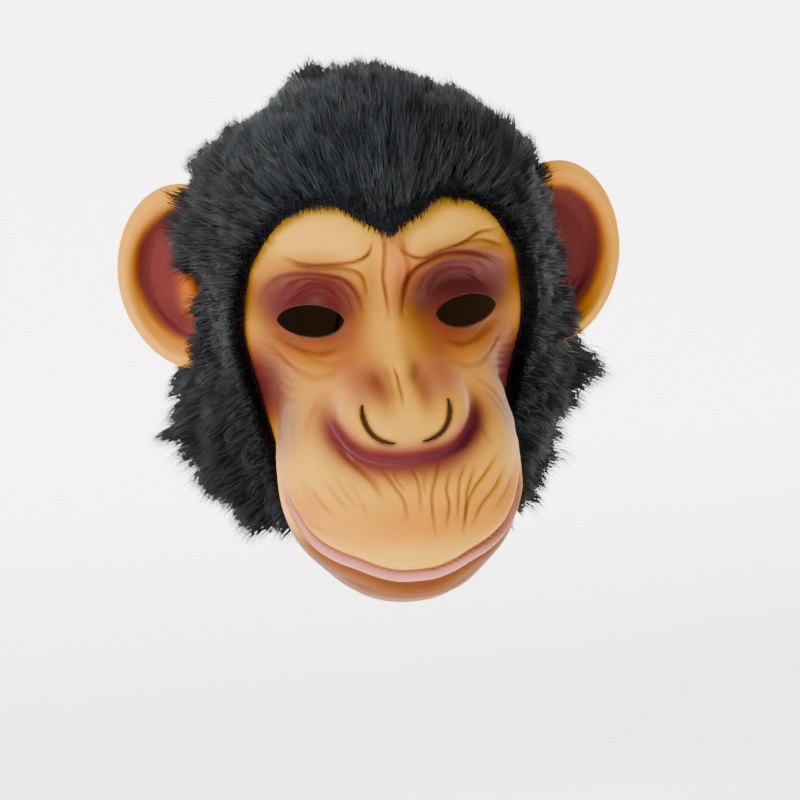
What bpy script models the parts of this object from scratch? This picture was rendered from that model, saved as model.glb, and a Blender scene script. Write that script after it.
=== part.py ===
"""A pull-on ape mask: a hollow latex head with a moulded face, two latex ears glued to its sides,
and a fake-fur hood sewn from two half panels, which meet at a seam over the crown.

Metres, +Z up, the face looks along -Y. The origin is where the wearer's crown touches the inside
of the latex. Heights in the tables are measured from the ear line, the level of the ears' middle.
"""

import math

import bpy
import bmesh
import numpy as np

# Latex head: reaches from the ear line and the head's middle, over the outside of the wall
CROWN_RISE = 0.084
CHIN_DROP = 0.153
NAPE_DROP = 0.128
HEAD_HALF_WIDTH = 0.080
HEAD_BACK = 0.102
BROW_REACH = 0.097
MUZZLE_REACH = 0.151
MUZZLE_HALF_WIDTH = 0.0615
MUZZLE_BLEND = 0.020
LATEX_WALL = 0.0024

# Face relief: places on the face as seen from the front, and heights above or below the base form
EYE_OUT = 0.0395
EYE_DROP = 0.0145
SOCKET_HALF_WIDTH = 0.027
SOCKET_HALF_HEIGHT = 0.022
SOCKET_DEPTH = 0.013
EYE_SLOT_HALF_WIDTH = 0.0165
EYE_SLOT_HALF_HEIGHT = 0.0085
NOSE_DROP = 0.0575
NOSE_HALF_WIDTH = 0.031
NOSE_HALF_HEIGHT = 0.019
NOSE_RELIEF = 0.013
NOSTRIL_INNER = 0.0060
NOSTRIL_TURN = 0.0145
NOSTRIL_SLIT = 0.0026
LIP_DROP = 0.1300
LIP_CORNER_RISE = 0.025
LIP_ROLL = 0.0046

# Ears
EAR_STANDOFF = 0.0220
EAR_HALF_WIDTH = 0.037
EAR_HALF_HEIGHT = 0.0485
EAR_RISE = -0.001
EAR_SKIN = 0.0034
EAR_RIM = 0.0065
EAR_CUP = 0.009
EAR_TURN = math.radians(14.0)

# Fur hood
SEAT_GAP = 0.0005
FUR_DEPTH = 0.0100
FUR_EDGE = 0.0045
SEAM_GAP = 0.0008
LOCK_RELIEF = 0.0055
EAR_SLIT_CLEARANCE = 0.0012

POLAR_AXIS_Y = -0.26 * BROW_REACH
EAR_LINE_Y = -POLAR_AXIS_Y
EAR_LINE_Z = LATEX_WALL - CROWN_RISE
SMALL = 1e-6

# Level is the drop below the ear line as a share of CHIN_DROP. The others are shares of the head's
# half width, back reach and brow reach, the outline's squareness, and shares of the muzzle's sizes.
HEAD_SECTIONS = (
    # level, width, back, front, squareness, muzzle_width, muzzle_reach
    (-0.090, 0.985, 0.990, 1.000, 2.60, 0.10, 0.50),
    (0.026, 1.000, 1.000, 0.975, 2.70, 0.20, 0.57),
    (0.156, 1.000, 0.980, 0.935, 2.60, 0.57, 0.685),
    (0.273, 0.980, 0.930, 0.866, 2.40, 0.82, 0.80),
    (0.377, 0.945, 0.873, 0.800, 2.20, 0.94, 0.89),
    (0.494, 0.910, 0.804, 0.720, 2.10, 0.99, 0.945),
    (0.623, 0.870, 0.735, 0.660, 2.00, 1.00, 0.98),
    (0.740, 0.835, 0.686, 0.620, 2.00, 0.97, 1.00),
    (0.844, 0.805, 0.657, 0.580, 2.00, 0.87, 0.98),
    (0.935, 0.790, 0.637, 0.540, 2.00, 0.67, 0.91),
    (1.000, 0.775, 0.627, 0.520, 2.00, 0.53, 0.81),
)

# Raised or sunk strokes on the face, one side of the pair, each a bend through three places:
# shares of EYE_OUT sideways and of CHIN_DROP down, then half width and height in shares of
# SOCKET_HALF_WIDTH and SOCKET_DEPTH.
FACE_STROKES = (
    # name, start, middle, end, half_width, height
    ("brow roll", (0.30, -0.045), (0.95, -0.170), (1.62, -0.030), 0.34, 0.36),
    ("centre valley", (0.00, -0.230), (0.00, -0.060), (0.00, 0.150), 0.27, -0.24),
    ("brow crease", (0.34, -0.150), (0.95, -0.085), (1.50, -0.155), 0.10, -0.12),
    ("nose bridge", (0.00, 0.060), (0.00, 0.160), (0.00, 0.270), 0.26, 0.20),
    ("lid fold", (0.45, 0.105), (1.00, -0.030), (1.55, 0.085), 0.12, 0.20),
    ("eye bag", (0.42, 0.215), (1.02, 0.275), (1.58, 0.205), 0.20, 0.20),
    ("nose trench", (0.72, 0.280), (0.80, 0.490), (0.00, 0.560), 0.19, -0.42),
    ("cheek fold", (1.02, 0.340), (1.24, 0.450), (1.16, 0.600), 0.20, 0.08),
    ("smile fold", (0.55, 0.600), (0.75, 0.720), (0.60, 0.800), 0.10, -0.07),
    ("lip fold", (0.25, 0.620), (0.30, 0.720), (0.26, 0.800), 0.09, -0.07),
)

# Round swellings and hollows of the face: place and half sizes in shares of EYE_OUT and CHIN_DROP,
# height in shares of SOCKET_DEPTH.
FACE_SWELLS = (
    # name, out, drop, half_width, half_height, height
    ("forehead boss", 0.75, -0.215, 0.60, 0.085, 0.20),
    ("nose hollow", 0.30, 0.262, 0.15, 0.050, -0.34),
    ("cheek hollow", 1.46, 0.330, 0.30, 0.120, -0.22),
    ("upper lip", 0.00, 0.690, 1.10, 0.130, 0.22),
    ("chin", 0.00, 0.960, 0.75, 0.060, 0.16),
)

# Where the fur's front edge runs on the latex, from the peak over the nose round to the jaw:
# the angle from straight ahead in degrees, and the place between crown and rim, 0 to 1.
HAIRLINE = (
    # angle, down
    (0.0, 0.322),
    (10.0, 0.298),
    (22.0, 0.273),
    (38.0, 0.292),
    (50.0, 0.342),
    (59.0, 0.404),
    (67.0, 0.480),
    (75.0, 0.570),
    (82.0, 0.680),
    (84.0, 0.820),
    (80.0, 1.000),
)

# Where the pile of a half panel is deeper: the middle of each place and its spread, along from the
# front edge to the back seam and across from the seam to the rim, and the depth it adds in shares
# of FUR_DEPTH.
DEEP_PILE = (
    # name, along, along_spread, across, across_spread, added_depth
    ("cheek", 0.30, 0.24, 0.72, 0.22, 2.60),
    ("crown", 0.50, 2.00, 0.00, 0.26, 0.75),
)

FACE_COLUMNS = 32
BACK_COLUMNS = 12
FACE_ROWS = 22
CROWN_ROWS = 4
LOCKS_ALONG = 8
LOCKS_ACROSS = 12
ROWS_PER_LOCK = 3
COLUMNS_PER_LOCK = 2


def column(table, index):
    """One column of a table as an array."""
    return np.array([row[index] for row in table], float)


def smooth_curve(at, places, values):
    """Values read off a smooth curve through the table's rows; places rise from row to row."""
    slopes = np.gradient(values, places)
    index = np.clip(np.searchsorted(places, at) - 1, 0, len(places) - 2)
    step = places[index + 1] - places[index]
    t = np.clip((at - places[index]) / step, 0.0, 1.0)
    rise = values[index + 1] - values[index]
    bend = slopes[index] * (t**3 - 2 * t**2 + t) + slopes[index + 1] * (t**3 - t**2)
    return values[index] + rise * (3 * t**2 - 2 * t**3) + step * bend


def outline_reach(angle, half_width, back, front, squareness):
    """Distance from the polar axis to a superellipse in a level section, by halving the interval."""
    middle = (back - front) / 2
    half_depth = (back + front) / 2
    low = np.zeros(np.shape(angle))
    high = np.full(np.shape(angle), 3 * (HEAD_BACK + MUZZLE_REACH))
    for _ in range(34):
        reach = (low + high) / 2
        across = np.abs(reach * np.sin(angle) / half_width) ** squareness
        along = np.abs((POLAR_AXIS_Y - reach * np.cos(angle) - middle) / half_depth) ** squareness
        inside = across + along < 1
        low = np.where(inside, reach, low)
        high = np.where(inside, high, reach)
    return (low + high) / 2


def base_points(angle, height):
    """The smooth form of the latex without its relief. Angle 0 is straight ahead, height is from
    the ear line."""
    level = np.maximum(-height / CHIN_DROP, HEAD_SECTIONS[0][0])
    places = column(HEAD_SECTIONS, 0)
    width, back, front, squareness, lobe, reach = (
        smooth_curve(level, places, column(HEAD_SECTIONS, k)) for k in range(1, 7)
    )
    brow = -HEAD_SECTIONS[0][0] * CHIN_DROP
    climb = np.clip((height - brow) / (CROWN_RISE - brow), 0.0, 1.0 - SMALL)
    dome = (1 - climb**2.15) ** (1 / 2.15)
    squareness = squareness - 0.5 * climb
    skull = outline_reach(
        angle,
        width * dome * HEAD_HALF_WIDTH,
        back * dome * HEAD_BACK + (1 - dome) * POLAR_AXIS_Y,
        front * dome * BROW_REACH - (1 - dome) * POLAR_AXIS_Y,
        squareness,
    )
    muzzle_back = 0.1 * BROW_REACH
    muzzle = outline_reach(
        angle, lobe * MUZZLE_HALF_WIDTH, -muzzle_back, reach * MUZZLE_REACH, 2.15
    )
    overlap = np.clip(MUZZLE_BLEND - np.abs(skull - muzzle), 0.0, None)
    fade = np.clip((0.16 - climb) / 0.16, 0.0, 1.0)
    distance = np.maximum(skull, muzzle * fade) + fade * overlap**2 / (4 * MUZZLE_BLEND)
    return np.stack(
        [distance * np.sin(angle), POLAR_AXIS_Y - distance * np.cos(angle), height], -1
    )


def rim_height(angle):
    """Height of the mask's open lower edge, lowest under the chin."""
    ahead = (0.5 + 0.5 * np.cos(angle)) ** 1.2
    return -NAPE_DROP - (CHIN_DROP - NAPE_DROP) * ahead


def disc_height(angle, down):
    """Height at a place between the crown (down 0) and the rim (down 1)."""
    share = 0.28
    turn = np.clip(down / share, 0.0, 1.0) * math.radians(62.0)
    shoulder = CROWN_RISE * math.cos(math.radians(62.0))
    over = CROWN_RISE * np.cos(turn)
    below = shoulder + (rim_height(angle) - shoulder) * (down - share) / (1 - share)
    return np.where(down < share, over, below)


def base_disc(across, ahead):
    """The smooth form over a flat disc: the crown at its middle, the rim at radius 1, the face at
    ahead 1."""
    down = np.hypot(across, ahead)
    angle = np.arctan2(across, ahead)
    return base_points(angle, disc_height(angle, down))


def unit(vectors):
    return vectors / np.maximum(np.linalg.norm(vectors, axis=-1, keepdims=True), SMALL**2)


def disc_normal(across, ahead):
    """Outward normal of the smooth form, from steps to both sides on the disc."""
    step = 2e-3
    along = base_disc(across + step, ahead) - base_disc(across - step, ahead)
    up = base_disc(across, ahead + step) - base_disc(across, ahead - step)
    return unit(np.cross(up, along))


def bend_points(start, middle, end, count=9):
    """Points along a bend that passes through its middle place."""
    t = np.linspace(0.0, 1.0, count)[:, None]
    start, middle, end = (np.array(p, float) for p in (start, middle, end))
    pull = 2 * middle - (start + end) / 2
    return (1 - t) ** 2 * start + 2 * t * (1 - t) * pull + t**2 * end


def stroke(x, z, points, half_width):
    """1 on the line through the points, falling off to 0 beside it as a bell curve."""
    nearest = np.full(np.shape(x), 9.0)
    for a, b in zip(points[:-1], points[1:]):
        run = b - a
        t = ((x - a[0]) * run[0] + (z - a[1]) * run[1]) / max(float(run @ run), SMALL**2)
        t = np.clip(t, 0.0, 1.0)
        nearest = np.minimum(nearest, np.hypot(x - a[0] - t * run[0], z - a[1] - t * run[1]))
    return np.exp(-((nearest / half_width) ** 2))


def swell(x, z, centre_x, centre_z, half_width, half_height, power=2.0):
    """1 in the middle of an oval, falling off outside it; a higher power has steeper sides."""
    spread = np.hypot((x - centre_x) / half_width, (z - centre_z) / half_height)
    return np.exp(-(spread**power))


def lip_line(x):
    """Height of the mouth line, which rises to the corners."""
    return -LIP_DROP + LIP_CORNER_RISE * (x / MUZZLE_HALF_WIDTH * 1.16) ** 2


def face_relief(points):
    """How far the face stands above the smooth form, from its place seen from the front."""
    x = np.abs(points[..., 0])
    z = points[..., 2]
    relief = np.zeros(np.shape(x))
    for _name, start, middle, end, half_width, height in FACE_STROKES:
        bend = bend_points(start, middle, end) * (EYE_OUT, -CHIN_DROP)
        relief += height * SOCKET_DEPTH * stroke(x, z, bend, half_width * SOCKET_HALF_WIDTH)
    for _name, out, drop, half_width, half_height, height in FACE_SWELLS:
        relief += height * SOCKET_DEPTH * swell(
            x, z, out * EYE_OUT, -drop * CHIN_DROP, half_width * EYE_OUT, half_height * CHIN_DROP
        )
    socket = swell(x, z, EYE_OUT, -EYE_DROP, SOCKET_HALF_WIDTH, SOCKET_HALF_HEIGHT, 3.4)
    ball = swell(x, z, EYE_OUT, -EYE_DROP, 0.62 * SOCKET_HALF_WIDTH, 0.62 * SOCKET_HALF_HEIGHT, 2.6)
    relief += SOCKET_DEPTH * (0.50 * ball - socket)
    wing = swell(x, z, 0.48 * NOSE_HALF_WIDTH, -NOSE_DROP, 0.62 * NOSE_HALF_WIDTH, NOSE_HALF_HEIGHT, 3.0)
    tip = swell(x, z, 0.0, -NOSE_DROP - 0.1 * NOSE_HALF_HEIGHT, 0.5 * NOSE_HALF_WIDTH, NOSE_HALF_HEIGHT, 3.0)
    relief += NOSE_RELIEF * np.maximum(wing, tip)
    below = z - lip_line(x)
    fade = np.clip((MUZZLE_HALF_WIDTH - x) / (0.20 * MUZZLE_HALF_WIDTH), 0.0, 1.0)
    roll = np.exp(-(((below + 1.3 * LIP_ROLL) / (1.3 * LIP_ROLL)) ** 2))
    slit = np.exp(-((below / (0.7 * LIP_ROLL)) ** 2))
    relief += fade * LIP_ROLL * (0.9 * roll - 0.8 * slit)
    front = np.clip((-points[..., 1] - 0.35 * BROW_REACH) / (0.25 * BROW_REACH), 0.0, 1.0)
    return relief * front


def latex_points(across, ahead, offset=0.0):
    """Places on the outside of the latex, or offset from it along its normal."""
    points = base_disc(across, ahead)
    normal = disc_normal(across, ahead)
    return points + normal * (face_relief(points) + offset)[..., None]


def placed(points):
    """Places from the origin at the inner crown, for points measured from the ear line."""
    return points + np.array([0.0, EAR_LINE_Y, EAR_LINE_Z])


def head_columns():
    """Angles of the head's columns, from the back right round to the back left, close together over
    the nose and wide apart at the back."""
    front = math.radians(74.0)
    t = np.linspace(-1.0, 1.0, FACE_COLUMNS + 1)
    face = front * (0.56 * t + 0.44 * t**3)
    back = np.linspace(front, 2 * math.pi - front, BACK_COLUMNS + 1)[1:-1]
    return np.concatenate([face, back])


def head_rows():
    """Places of the head's rows between crown and rim, leaving out the crown's own point."""
    crown = np.linspace(0.0, 0.21, CROWN_ROWS + 1)[1:]
    t = np.linspace(0.0, 1.0, FACE_ROWS + 1)[1:]
    face = 0.21 + 0.79 * (t + 0.055 * np.sin(2 * math.pi * t))
    return np.concatenate([crown, face])


def head_skin(offset, downs_of_rows):
    """One skin of the head: its crown point, then its rows of points."""
    angles, downs = np.meshgrid(head_columns(), downs_of_rows)
    points = latex_points(downs * np.sin(angles), downs * np.cos(angles), offset)
    crown = np.array([0.0, POLAR_AXIS_Y, CROWN_RISE + offset])
    return np.vstack([crown, points.reshape(-1, 3)])


def skin_faces(first, columns, rows, outward):
    """Faces of one skin, as a fan at the crown and quads below, each split the same way."""
    faces = []
    for c in range(columns):
        n = (c + 1) % columns
        faces.append((first, first + 1 + c, first + 1 + n))
        for r in range(rows - 1):
            top = first + 1 + r * columns
            faces.append((top + c, top + columns + c, top + columns + n))
            faces.append((top + c, top + columns + n, top + n))
    return faces if outward else [face[::-1] for face in faces]


def mesh_object(name, points, faces, material):
    """A new object with this mesh, shaded smooth but for its sharp edges."""
    mesh = bpy.data.meshes.new(name)
    mesh.from_pydata([tuple(p) for p in points], [], [tuple(int(i) for i in f) for f in faces])
    mesh.validate()
    mesh.shade_smooth()
    mesh.set_sharp_from_angle(angle=math.radians(50.0))
    if material:
        mesh.materials.append(material)
    made = bpy.data.objects.new(name, mesh)
    bpy.context.scene.collection.objects.link(made)
    return made


def helper(made):
    """Marks an object as a cutter, which the model doesn't show."""
    made.hide_render = True
    made.display_type = "WIRE"
    return made


def cut(target, cutter):
    """Takes the cutter's shape out of the target."""
    modifier = target.modifiers.new(f"cut {cutter.name}", "BOOLEAN")
    modifier.operation = "DIFFERENCE"
    modifier.solver = "EXACT"
    modifier.object = cutter


def finish(name, colour, roughness):
    """A plain material."""
    material = bpy.data.materials.new(name)
    material.use_nodes = True
    shader = material.node_tree.nodes["Principled BSDF"]
    shader.inputs["Base Color"].default_value = (*colour, 1.0)
    shader.inputs["Roughness"].default_value = roughness
    return material


def prism(name, outline, front, back):
    """A closed prism along Y over an outline of (x, z) places that runs anticlockwise."""
    count = len(outline)
    points = [(x, y, z) for y in (front, back) for x, z in outline]
    sides = [(i, i + count, (i + 1) % count + count, (i + 1) % count) for i in range(count)]
    caps = [tuple(range(count)), tuple(reversed(range(count, 2 * count)))]
    made = helper(mesh_object(name, placed(np.array(points)), sides + caps, None))
    face_outwards(made)
    return made


def face_outwards(made):
    """Turns all faces of a closed mesh to point out."""
    mesh = bmesh.new()
    mesh.from_mesh(made.data)
    bmesh.ops.recalc_face_normals(mesh, faces=mesh.faces)
    mesh.to_mesh(made.data)
    mesh.free()


def eye_slot_outline(side):
    """An almond, pointed at its corners."""
    turns = np.linspace(0.0, 2 * math.pi, 20, endpoint=False)
    x = EYE_OUT + EYE_SLOT_HALF_WIDTH * np.cos(turns)
    lift = np.sign(np.sin(turns)) * np.abs(np.sin(turns)) ** 1.25
    z = -EYE_DROP - 0.12 * SOCKET_HALF_HEIGHT + EYE_SLOT_HALF_HEIGHT * lift
    return list(zip(side * x, z))


def nostril_outline(side):
    """A slit of even width along a quarter turn, from the wing down to beside the tip."""
    turns = np.linspace(0.0, -math.pi / 2, 8)
    middle_z = -NOSE_DROP + 0.45 * NOSTRIL_TURN
    both = []
    for half, order in ((0.5 * NOSTRIL_SLIT, 1), (-0.5 * NOSTRIL_SLIT, -1)):
        reach = NOSTRIL_TURN + half
        x = side * (NOSTRIL_INNER + reach * np.cos(turns))
        z = middle_z + reach * np.sin(turns)
        both += list(zip(x, z))[::order]
    return both


def make_head(latex):
    """The latex head: an outer and an inner skin joined at the rim, cut at the eyes and nostrils."""
    columns = len(head_columns())
    rows = len(head_rows())
    outer = head_skin(0.0, head_rows())
    inner = head_skin(-LATEX_WALL, head_rows())
    count = len(outer)
    faces = skin_faces(0, columns, rows, True) + skin_faces(count, columns, rows, False)
    last = 1 + (rows - 1) * columns
    for c in range(columns):
        n = (c + 1) % columns
        faces.append((last + c, last + c + count, last + n + count, last + n))
    head = mesh_object("latex_head", placed(np.vstack([outer, inner])), faces, latex)
    face_outwards(head)
    front = -1.2 * MUZZLE_REACH
    for side, name in ((-1, "right"), (1, "left")):
        cut(head, prism(f"{name} eye cutter", eye_slot_outline(side), front, -0.45 * BROW_REACH))
        cut(head, prism(f"{name} nostril cutter", nostril_outline(side), front, -0.8 * BROW_REACH))
    return head


def make_plug():
    """The head's outside, grown by the seat gap and closed below the rim, to trim the ears' roots
    and the backing of the fur."""
    columns = len(head_columns())
    downs = np.append(head_rows(), 1.05)
    faces = skin_faces(0, columns, len(downs), True)
    last = 1 + (len(downs) - 1) * columns
    faces.append(tuple(last + c for c in reversed(range(columns))))
    skin = placed(head_skin(SEAT_GAP, downs))
    plug = helper(mesh_object("root and backing cutter", skin, faces, None))
    face_outwards(plug)
    return plug


def ear_outline(turn):
    """Half sizes of the ear's outline at each turn from the outward direction: an egg, narrower
    below."""
    narrow = 1.0 - 0.10 * np.clip(-np.sin(turn), 0.0, 1.0) ** 2
    return EAR_HALF_WIDTH * np.cos(turn) * narrow, EAR_HALF_HEIGHT * np.sin(turn)


def ear_front(share):
    """How far the ear's front stands forward of its middle plane, from its centre (0) to its edge
    (1): a hollow, a low inner ridge, a trench and the rolled rim."""
    cup = EAR_CUP * (0.75 * share**2 - 0.55)
    ridge = 0.30 * EAR_CUP * np.exp(-(((share - 0.46) / 0.13) ** 2))
    trench = -0.34 * EAR_CUP * np.exp(-(((share - 0.70) / 0.10) ** 2))
    rim = 0.42 * EAR_RIM * np.exp(-(((share - 0.90) / 0.09) ** 2))
    return cup + ridge + trench + rim


def make_ear(name, side, latex, plug):
    """An ear: a cupped flap with a rolled rim, whose root is trimmed to the side of the head."""
    turns = np.linspace(0.0, 2 * math.pi, 22, endpoint=False)
    out, up = ear_outline(turns)
    shares = np.array([0.22, 0.46, 0.70, 0.88, 0.97])
    rings = [(share, ear_front(share)) for share in shares]
    rings.append((1.0, ear_front(0.97) - 0.5 * EAR_RIM))
    rings += [(share, ear_front(share) - EAR_SKIN) for share in (0.93, 0.70, 0.40)]
    points = [(0.0, ear_front(0.0), 0.0)]
    for share, forward in rings:
        points += [(share * o, forward, share * u) for o, u in zip(out, up)]
    points.append((0.0, ear_front(0.0) - EAR_SKIN, 0.0))
    count = len(turns)
    faces = []
    for c in range(count):
        n = (c + 1) % count
        faces.append((0, 1 + c, 1 + n))
        for r in range(len(rings) - 1):
            start = 1 + r * count
            faces.append((start + c, start + count + c, start + count + n, start + n))
        start = 1 + (len(rings) - 1) * count
        faces.append((start + c, len(points) - 1, start + n))
    local = np.array(points)
    turned_x = local[:, 0] * math.cos(EAR_TURN) + local[:, 1] * math.sin(EAR_TURN)
    turned_y = local[:, 0] * math.sin(EAR_TURN) - local[:, 1] * math.cos(EAR_TURN)
    x = side * (HEAD_HALF_WIDTH + EAR_STANDOFF + turned_x)
    z = EAR_RISE + local[:, 2]
    ear = mesh_object(name, placed(np.stack([x, turned_y, z], -1)), faces, latex)
    face_outwards(ear)
    cut(ear, plug)
    return ear


def disc_place(angle, down):
    """Disc coordinates (across, ahead) of an angle and a place between crown and rim."""
    return np.stack([down * np.sin(angle), down * np.cos(angle)], -1)


def hairline_place(across):
    """Disc place of the fur's front edge, from the peak (0) to the jaw (1)."""
    places = np.linspace(0.0, 1.0, len(HAIRLINE))
    angle = np.radians(smooth_curve(across, places, column(HAIRLINE, 0)))
    down = smooth_curve(across, places, column(HAIRLINE, 1))
    return disc_place(angle, down)


def panel_place(along, across):
    """Disc place on a half panel of the hood: along runs from the front edge to the back seam, and
    across from the seam over the crown to the rim. The four edges are blended."""
    seam_front = hairline_place(np.zeros(1))[0]
    back_top = np.array([0.0, -0.42])
    nape = np.array([0.0, -1.0])
    jaw = hairline_place(np.ones(1))[0]
    jaw_angle = math.radians(HAIRLINE[-1][0])
    s, t = along[..., None], across[..., None]
    front = hairline_place(across)
    back = back_top + (nape - back_top) * t
    seam = seam_front + (back_top - seam_front) * s
    rim_angle = jaw_angle + (math.pi - jaw_angle) * along
    rim = disc_place(rim_angle, np.ones(np.shape(along)))
    corners = (1 - s) * (1 - t) * seam_front + s * (1 - t) * back_top
    corners = corners + (1 - s) * t * jaw + s * t * nape
    return (1 - s) * front + s * back + (1 - t) * seam + t * rim - corners


def pile_depth(along, across):
    """Depth of the fur: short at the front edge, and as DEEP_PILE says further back."""
    deep = np.full(np.shape(along), 1.0)
    for _name, middle, spread, across_middle, across_spread, added in DEEP_PILE:
        deep += added * swell(along, across, middle, across_middle, spread, across_spread)
    rise = 1 - np.exp(-along / 0.07)
    return FUR_EDGE + (deep * FUR_DEPTH - FUR_EDGE) * rise


def lock_shape(along_index, across_index):
    """Share of the lock's relief at a grid place, and how far it leans along the pile: each lock
    rises to its tip and is highest on its middle line."""
    ridge = (across_index % COLUMNS_PER_LOCK) == 1
    shift = (across_index // COLUMNS_PER_LOCK) % 2
    step = (along_index + shift) % ROWS_PER_LOCK
    height = np.where(ridge, step / (ROWS_PER_LOCK - 1), 0.0)
    return height, height * 0.9 / (LOCKS_ALONG * ROWS_PER_LOCK)


def panel_skin(rows, columns, outside):
    """Points of the panel's inner or outer skin on a grid."""
    across_index, along_index = np.meshgrid(np.arange(columns + 1), np.arange(rows + 1))
    along, across = along_index / rows, across_index / columns
    offset = np.full(np.shape(along), SEAT_GAP if outside else -0.5 * LATEX_WALL)
    if outside:
        height, lean = lock_shape(along_index, across_index)
        inside = (along_index > 0) & (along_index < rows) & (across_index > 0)
        inside = inside & (across_index < columns)
        along = along + np.where(inside, lean, 0.0)
        relief = np.where(inside, height, 0.0) * LOCK_RELIEF
        offset = offset + pile_depth(along, across) + relief
    place = panel_place(along, across)
    return latex_points(place[..., 0], place[..., 1], offset)


def make_fur_panel(name, side, fur, ear_cutter, plug):
    """Half of the hood: its backing follows the latex, and its outside is the pile in locks."""
    rows = LOCKS_ALONG * ROWS_PER_LOCK
    columns = LOCKS_ACROSS * COLUMNS_PER_LOCK
    outer = panel_skin(rows, columns, True)
    inner = panel_skin(rows // 2, columns // 2, False)
    both = np.vstack([outer.reshape(-1, 3), inner.reshape(-1, 3)])
    both[:, 0] = np.maximum(both[:, 0], 0.5 * SEAM_GAP) * side
    faces = []

    def top(r, c):
        return r * (columns + 1) + c

    def low(r, c):
        return outer.shape[0] * outer.shape[1] + r * (columns // 2 + 1) + c

    for r in range(rows):
        for c in range(columns):
            faces.append((top(r, c), top(r, c + 1), top(r + 1, c + 1), top(r + 1, c)))
    for r in range(rows // 2):
        for c in range(columns // 2):
            faces.append((low(r, c), low(r + 1, c), low(r + 1, c + 1), low(r, c + 1)))
    for edge in (0, 1):
        for c in range(columns // 2):
            r, h = edge * rows, edge * rows // 2
            a, m, b = top(r, 2 * c), top(r, 2 * c + 1), top(r, 2 * c + 2)
            faces += [(a, m, low(h, c)), (m, low(h, c + 1), low(h, c)), (m, b, low(h, c + 1))]
        for r in range(rows // 2):
            c, h = edge * columns, edge * columns // 2
            a, m, b = top(2 * r, c), top(2 * r + 1, c), top(2 * r + 2, c)
            faces += [(a, m, low(r, h)), (m, low(r + 1, h), low(r, h)), (m, b, low(r + 1, h))]
    panel = mesh_object(name, placed(both), faces, fur)
    face_outwards(panel)
    cut(panel, plug)
    cut(panel, ear_cutter)
    return panel


def make_ear_slit_cutter(name, side):
    """A slot through the fur, a clearance wider all round than the ear's root."""
    turns = np.linspace(0.0, 2 * math.pi, 16, endpoint=False)
    depth = EAR_CUP + EAR_RIM + EAR_SKIN
    half_y = 0.5 * depth + EAR_SLIT_CLEARANCE
    half_z = EAR_HALF_HEIGHT + EAR_SLIT_CLEARANCE
    square = 0.75
    y = half_y * np.sign(np.cos(turns)) * np.abs(np.cos(turns)) ** square
    z = EAR_RISE + half_z * np.sign(np.sin(turns)) * np.abs(np.sin(turns)) ** square
    inner = 0.8 * HEAD_HALF_WIDTH
    outer = HEAD_HALF_WIDTH + 7 * FUR_DEPTH
    points = []
    for x in (inner, outer):
        lean = (x - HEAD_HALF_WIDTH - EAR_STANDOFF) * math.tan(EAR_TURN)
        points += [(side * x, a + lean, b) for a, b in zip(y, z)]
    count = len(turns)
    faces = [(i, i + count, (i + 1) % count + count, (i + 1) % count) for i in range(count)]
    faces += [tuple(range(count)), tuple(reversed(range(count, 2 * count)))]
    cutter = helper(mesh_object(name, placed(np.array(points)), faces, None))
    face_outwards(cutter)
    return cutter


def build():
    """Makes the mask's five pieces."""
    for old in list(bpy.data.objects):
        bpy.data.objects.remove(old, do_unlink=True)
    latex = finish("painted latex", (0.82, 0.50, 0.20), 0.48)
    fur = finish("black pile", (0.012, 0.014, 0.016), 0.85)
    make_head(latex)
    plug = make_plug()
    for side, name in ((-1, "right"), (1, "left")):
        make_ear(f"{name}_ear", side, latex, plug)
        slit = make_ear_slit_cutter(f"{name} ear slit cutter", side)
        make_fur_panel(f"{name}_fur_panel", side, fur, slit, plug)


build()
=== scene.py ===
"""Full-size look of a pull-on ape mask: painted latex head, two latex ears and a fake-fur hood.

The shapes are worked out in millimetres from the ear line, the level of the middle of the ears, and
are put into metres from the inside of the crown when a mesh is made. The face looks along -Y.
"""

from __future__ import annotations

import logging
import math
from dataclasses import dataclass, field
from enum import Enum

import bpy
import numpy as np
from mathutils import Matrix

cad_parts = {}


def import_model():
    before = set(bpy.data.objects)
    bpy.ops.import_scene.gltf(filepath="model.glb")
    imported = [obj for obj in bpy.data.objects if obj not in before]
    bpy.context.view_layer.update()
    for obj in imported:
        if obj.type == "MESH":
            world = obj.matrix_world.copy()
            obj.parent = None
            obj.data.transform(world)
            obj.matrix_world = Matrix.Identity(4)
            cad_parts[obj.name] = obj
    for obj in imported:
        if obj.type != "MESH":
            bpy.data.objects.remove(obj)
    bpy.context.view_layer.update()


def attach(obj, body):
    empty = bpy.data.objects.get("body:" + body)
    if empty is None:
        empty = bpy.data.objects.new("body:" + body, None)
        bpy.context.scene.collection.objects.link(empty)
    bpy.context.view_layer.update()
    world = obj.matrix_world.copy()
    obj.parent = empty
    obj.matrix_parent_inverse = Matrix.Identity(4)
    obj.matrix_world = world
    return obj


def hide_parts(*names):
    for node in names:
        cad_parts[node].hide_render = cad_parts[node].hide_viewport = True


LOG = logging.getLogger("ape_mask")
Array = np.ndarray
Colour = tuple[float, float, float]
Place = tuple[float, float]

MILLIMETRE = 0.001
TINY = 1e-9


def paint(red: int, green: int, blue: int) -> Colour:
    """A colour as the shader's linear values.

    Each 0-255 value c gives ((c/255 + 0.055) / 1.055) ** 2.4, or c/255 / 12.92 when it is dark.

    Args:
        red: Red as seen on a screen, 0 to 255.
        green: Green, the same way.
        blue: Blue, the same way.

    Returns:
        The linear colour.
    """
    shares = (value / 255 for value in (red, green, blue))
    return tuple(c / 12.92 if c < 0.04 else ((c + 0.055) / 1.055) ** 2.4 for c in shares)


def unit(vectors: Array) -> Array:
    """The vectors divided by their lengths."""
    return vectors / np.maximum(np.linalg.norm(vectors, axis=-1, keepdims=True), TINY)


def blend(a: Array, b: Array, share: Array) -> Array:
    """a + (b - a) * share, with share held between 0 and 1."""
    return a + (b - a) * np.clip(share, 0.0, 1.0)


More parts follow.
